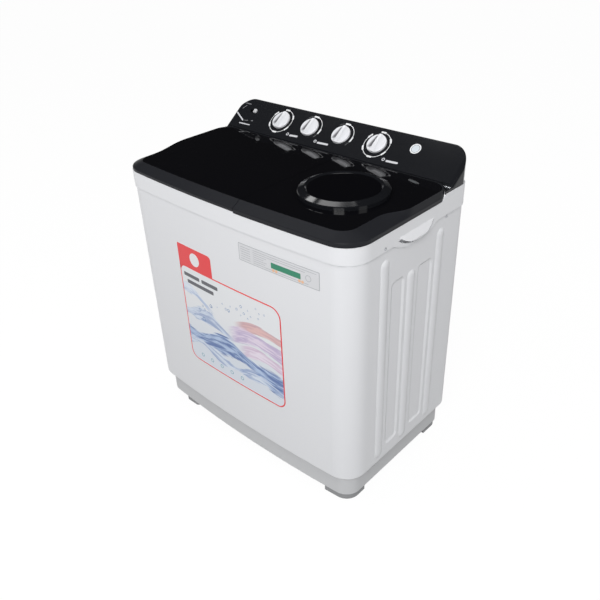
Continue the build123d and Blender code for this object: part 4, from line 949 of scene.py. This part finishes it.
def build_ribbon():
    """Mask and streaks of a band round Centre + Slope x + Swing sin(2 pi (x - Shift) / Length)."""
    group, given, made = new_group(
        "swelling_ribbon",
        {name: ("NodeSocketFloat", 0.0) for name in SHAPE},
        {"Mask": "NodeSocketFloat", "Streaks": "NodeSocketFloat"},
    )
    x, _, z = object_axes(group)
    shifted = link_math(group, "SUBTRACT", x, given["Shift"])
    turns = link_math(group, "DIVIDE", shifted, given["Length"])
    phase = link_math(group, "MULTIPLY", turns, 2 * pi)
    wave = link_math(group, "MULTIPLY", link_math(group, "SINE", phase), given["Swing"])
    slant = link_math(group, "MULTIPLY", x, given["Slope"])
    off = link_math(group, "SUBTRACT", z, link_math(group, "ADD", wave, slant, given["Centre"]))
    swell = link_math(group, "SINE", link_math(group, "MULTIPLY", phase, SWELLS))
    half = link_math(group, "ADD", link_math(group, "MULTIPLY", swell, given["Swell"]), 1.0)
    half = link_math(group, "MULTIPLY", half, given["Half"])
    share = link_math(group, "DIVIDE", link_math(group, "ABSOLUTE", off), half)
    drawn = group.nodes.new("ShaderNodeCombineXYZ")
    group.links.new(link_math(group, "MULTIPLY", x, DRAWN_ALONG), drawn.inputs[0])
    group.links.new(given["Shift"], drawn.inputs[1])
    group.links.new(link_math(group, "MULTIPLY", off, DRAWN_ACROSS), drawn.inputs[2])
    noise = group.nodes.new("ShaderNodeTexNoise")
    for label, value in (("Scale", 1.0), ("Detail", 3.0), ("Distortion", 0.8)):
        noise.inputs[label].default_value = value
    group.links.new(drawn.outputs[0], noise.inputs["Vector"])
    fray = link_math(group, "SUBTRACT", noise.outputs["Fac"], 0.5)
    edge = link_math(group, "ADD", share, link_math(group, "MULTIPLY", fray, WOBBLE))
    starts = link_ramp(group, link_math(group, "SUBTRACT", x, given["From"]), 0.0, END_FADE)
    ends = link_ramp(group, link_math(group, "SUBTRACT", given["To"], x), 0.0, END_FADE)
    mask = link_math(group, "MULTIPLY", link_ramp(group, edge, *EDGE_FROM_TO), starts, ends)
    group.links.new(mask, made["Mask"])
    group.links.new(link_ramp(group, noise.outputs["Fac"], *STREAK_FADES), made["Streaks"])
    return group


RIBBON = build_ribbon()
print("group", RIBBON.name, "shaped by", len(SHAPE), "values")

# %% Ribbons on paper
RIBBONS = (
    # dark, light, cover, and the shape in the order of SHAPE, from the far one to the near one
    ((196, 150, 158), (222, 176, 172), 0.85,
     (0.474, 0.10, 0.013, 0.34, 0.02, 0.016, 0.3, 0.01, 0.4)),
    ((186, 168, 204), (226, 212, 230), 0.90,
     (0.436, 0.10, 0.016, 0.36, -0.02, 0.026, 0.25, -0.02, 0.4)),
    ((206, 182, 206), (232, 220, 234), 0.90,
     (0.396, 0.04, 0.014, 0.30, 0.03, 0.020, 0.3, 0.02, 0.4)),
    ((112, 140, 190), (206, 218, 236), 0.75,
     (0.418, -0.18, 0.018, 0.30, -0.16, 0.022, 0.5, -0.4, 0.02)),
    ((150, 172, 210), (222, 230, 242), 0.80,
     (0.462, -0.30, 0.012, 0.22, -0.21, 0.014, 0.4, -0.4, -0.06)),
    ((72, 104, 164), (176, 196, 226), 0.95,
     (0.366, -0.06, 0.016, 0.37, -0.10, 0.029, 0.4, -0.4, 0.4)),
    ((120, 146, 194), (214, 224, 238), 0.80,
     (0.326, -0.05, 0.010, 0.26, 0.05, 0.015, 0.6, -0.4, 0.4)),
)
PAPER_HIGH, PAPER_LOW = (228, 230, 233), (216, 222, 231)
PAPER_FADES = (0.50, 0.33)
PAPER_ROUGH = 0.28


def lay_ribbon(tree, under, dark, light, cover, shape):
    """Puts one ribbon over the colour below it."""
    group = place_group(tree, RIBBON, **dict(zip(SHAPE, shape)))
    tone = link_mix(tree, group.outputs["Streaks"], shown(*dark), shown(*light))
    return link_mix(tree, link_math(tree, "MULTIPLY", group.outputs["Mask"], cover), under, tone)


def picture_paper():
    """Satin paper with the ribbons, from the far ones to the near ones."""
    material, tree, shader = start_material("picture_paper")
    shader.inputs["Roughness"].default_value = PAPER_ROUGH
    low = link_ramp(tree, object_axes(tree)[2], *PAPER_FADES)
    colour = link_mix(tree, low, shown(*PAPER_HIGH), shown(*PAPER_LOW))
    for ribbon in RIBBONS:
        colour = lay_ribbon(tree, colour, *ribbon)
    tree.links.new(colour, shader.inputs["Base Color"])
    return material


print("ribbons", len(RIBBONS))

# %% The picture sheet
SHEET_X = (-0.207, 0.202)
SHEET_Z = (0.263, 0.601)
TAB_X = (-0.207, -0.058)
TAB_TOP = 0.668
TAB_UNDER = 0.02          # how far the tab goes down over the sheet
BORDER = 0.0042

RED = moulded("print_red", (228, 60, 64), 0.30, clouds=0.04)
GREY_INK = moulded("print_grey", (92, 94, 100), 0.35, clouds=0.06)
BLUE_INK = moulded("print_blue", (112, 142, 184), 0.35, clouds=0.10)
TEAL_INK = moulded("print_teal", (96, 158, 176), 0.35, clouds=0.06)

print_front("sticker_back", [
    sheet_rails(*SHEET_X, *SHEET_Z, (0.030, 0.030, 0.034, 0.004)),
    sheet_rails(*TAB_X, SHEET_Z[1] - TAB_UNDER, TAB_TOP, (0.001, 0.001, 0.012, 0.005)),
], RED, 0)
print_front("sticker_picture", [
    sheet_rails(SHEET_X[0] + BORDER, SHEET_X[1] - BORDER, SHEET_Z[0] + BORDER, SHEET_Z[1] - BORDER,
                (0.026, 0.026, 0.030, 0.020)),
], picture_paper(), 1)
print("sheet", [round(1000 * (b - a)) for a, b in (SHEET_X, SHEET_Z)], "mm")

# %% [markdown]
# Small prints go over the sheets: bubbles that rise from the left, a heading of plain bars, and a
# row of plain rings. The bubbles get smaller on their way up, and a seeded draw scatters them.

# %% Small prints on the picture sheet
SEED = 11
BUBBLES = 26
BUBBLE_IN = 0.70          # inner radius of a bubble's line, as a share of the outer one

rng = np.random.default_rng(SEED)
climb = np.linspace(0, 1, BUBBLES)      # from the lower left to the upper right
bubble_x = -0.165 + 0.32 * climb + rng.normal(0, 0.016, climb.size)
bubble_z = 0.445 + 0.105 * np.sin(climb * 1.7) + rng.normal(0, 0.014, climb.size)
bubble_r = 0.0022 + 0.0058 * rng.random(climb.size) * (1.1 - climb)
bubbles = [ring_rails(x, z, BUBBLE_IN * r, r, 24) for x, z, r in zip(bubble_x, bubble_z, bubble_r)]
print_front("sticker_bubbles", bubbles, BLUE_INK, 2)

print("bubbles", len(bubbles))

# %% Bars, rings and disc
BARS = ((-0.190, -0.120, 0.566), (-0.110, -0.040, 0.566), (-0.178, -0.060, 0.544))
BAR_HIGH, BAR_CORNER = 0.012, 0.003
RINGS_X = np.linspace(-0.15, 0.03, 5)
RINGS_Z = 0.293
RING_LINE = (0.0048, 0.0066)            # inner and outer radius of a small ring
TAB_DISC = (-0.132, 0.633, 0.0002, 0.021)

bars = [block_rails(x0, x1, z, z + BAR_HIGH, BAR_CORNER, 6) for x0, x1, z in BARS]
print_front("sticker_bars", bars, GREY_INK, 2)
rings = [ring_rails(x, RINGS_Z, *RING_LINE, 24) for x in RINGS_X]
print_front("sticker_rings", rings, TEAL_INK, 2)
print_front("sticker_tab_disc", [ring_rails(*TAB_DISC, 12)],
            moulded("print_white", (232, 230, 232), 0.30), 1)
print("bars", len(bars), "rings", len(rings))

# %% [markdown]
# The second sheet is a narrow strip of pale grey paper. It only has plain blocks: a thin frame, a
# green bar, orange dots and faint rules.

# %% The narrow sheet
STRIP_X = (0.066, 0.334)
STRIP_Z = (0.7045, 0.755)
FRAME = 0.0016
PALE = moulded("strip_paper", (213, 214, 217), 0.32, clouds=0.02)
RULE = moulded("print_rule", (166, 168, 173), 0.35)
GREEN = moulded("print_green", (46, 130, 100), 0.32, clouds=0.05)
ORANGE = moulded("print_orange", (232, 186, 150), 0.35)

print_front("strip_edge", [block_rails(*STRIP_X, *STRIP_Z, 0.002, 28)], RULE, 0)
print_front("strip_sheet", [
    block_rails(STRIP_X[0] + FRAME, STRIP_X[1] - FRAME,
                STRIP_Z[0] + FRAME, STRIP_Z[1] - FRAME, 0.001, 28),
], PALE, 1)
print("strip", [round(1000 * (b - a), 1) for a, b in (STRIP_X, STRIP_Z)], "mm")

# %% Rules, bar and dots
RULE_CORNER = 0.0004
SHORT_X, SHORT_T = (0.074, 0.108), 0.0012       # rules of the left block and their thickness
LONG_FROM, LONG_T = 0.118, 0.0011
LONG_TO = (0.30, 0.16, 0.165, 0.155, 0.165, 0.29, 0.325)
SHORT_Z = np.linspace(0.712, 0.745, 6)
LONG_Z = np.linspace(0.711, 0.747, len(LONG_TO))
DOTS_X = (0.187, 0.197, 0.272, 0.282)

rules = [block_rails(*SHORT_X, z, z + SHORT_T, RULE_CORNER, 5) for z in SHORT_Z]
rules += [block_rails(LONG_FROM, x1, z, z + LONG_T, RULE_CORNER, 8)
          for z, x1 in zip(LONG_Z, LONG_TO)]
rules += [ring_rails(0.300, 0.728, 0.0075, 0.0088, 15)]
dots = [ring_rails(x, 0.7125, 0.0002, 0.0042, 24) for x in DOTS_X]
print_front("strip_rules", rules, RULE, 2)
print_front("strip_bar", [block_rails(0.180, 0.276, 0.7175, 0.7335, 0.0008, 8)], GREEN, 2)
print_front("strip_dots", dots, ORANGE, 3)
print("strip marks", len(rules) + 1 + len(dots))

# %% [markdown]
# ## Last update
#
# At the end the view layer is brought up to date.

# %% Last update
bpy.context.view_layer.update()
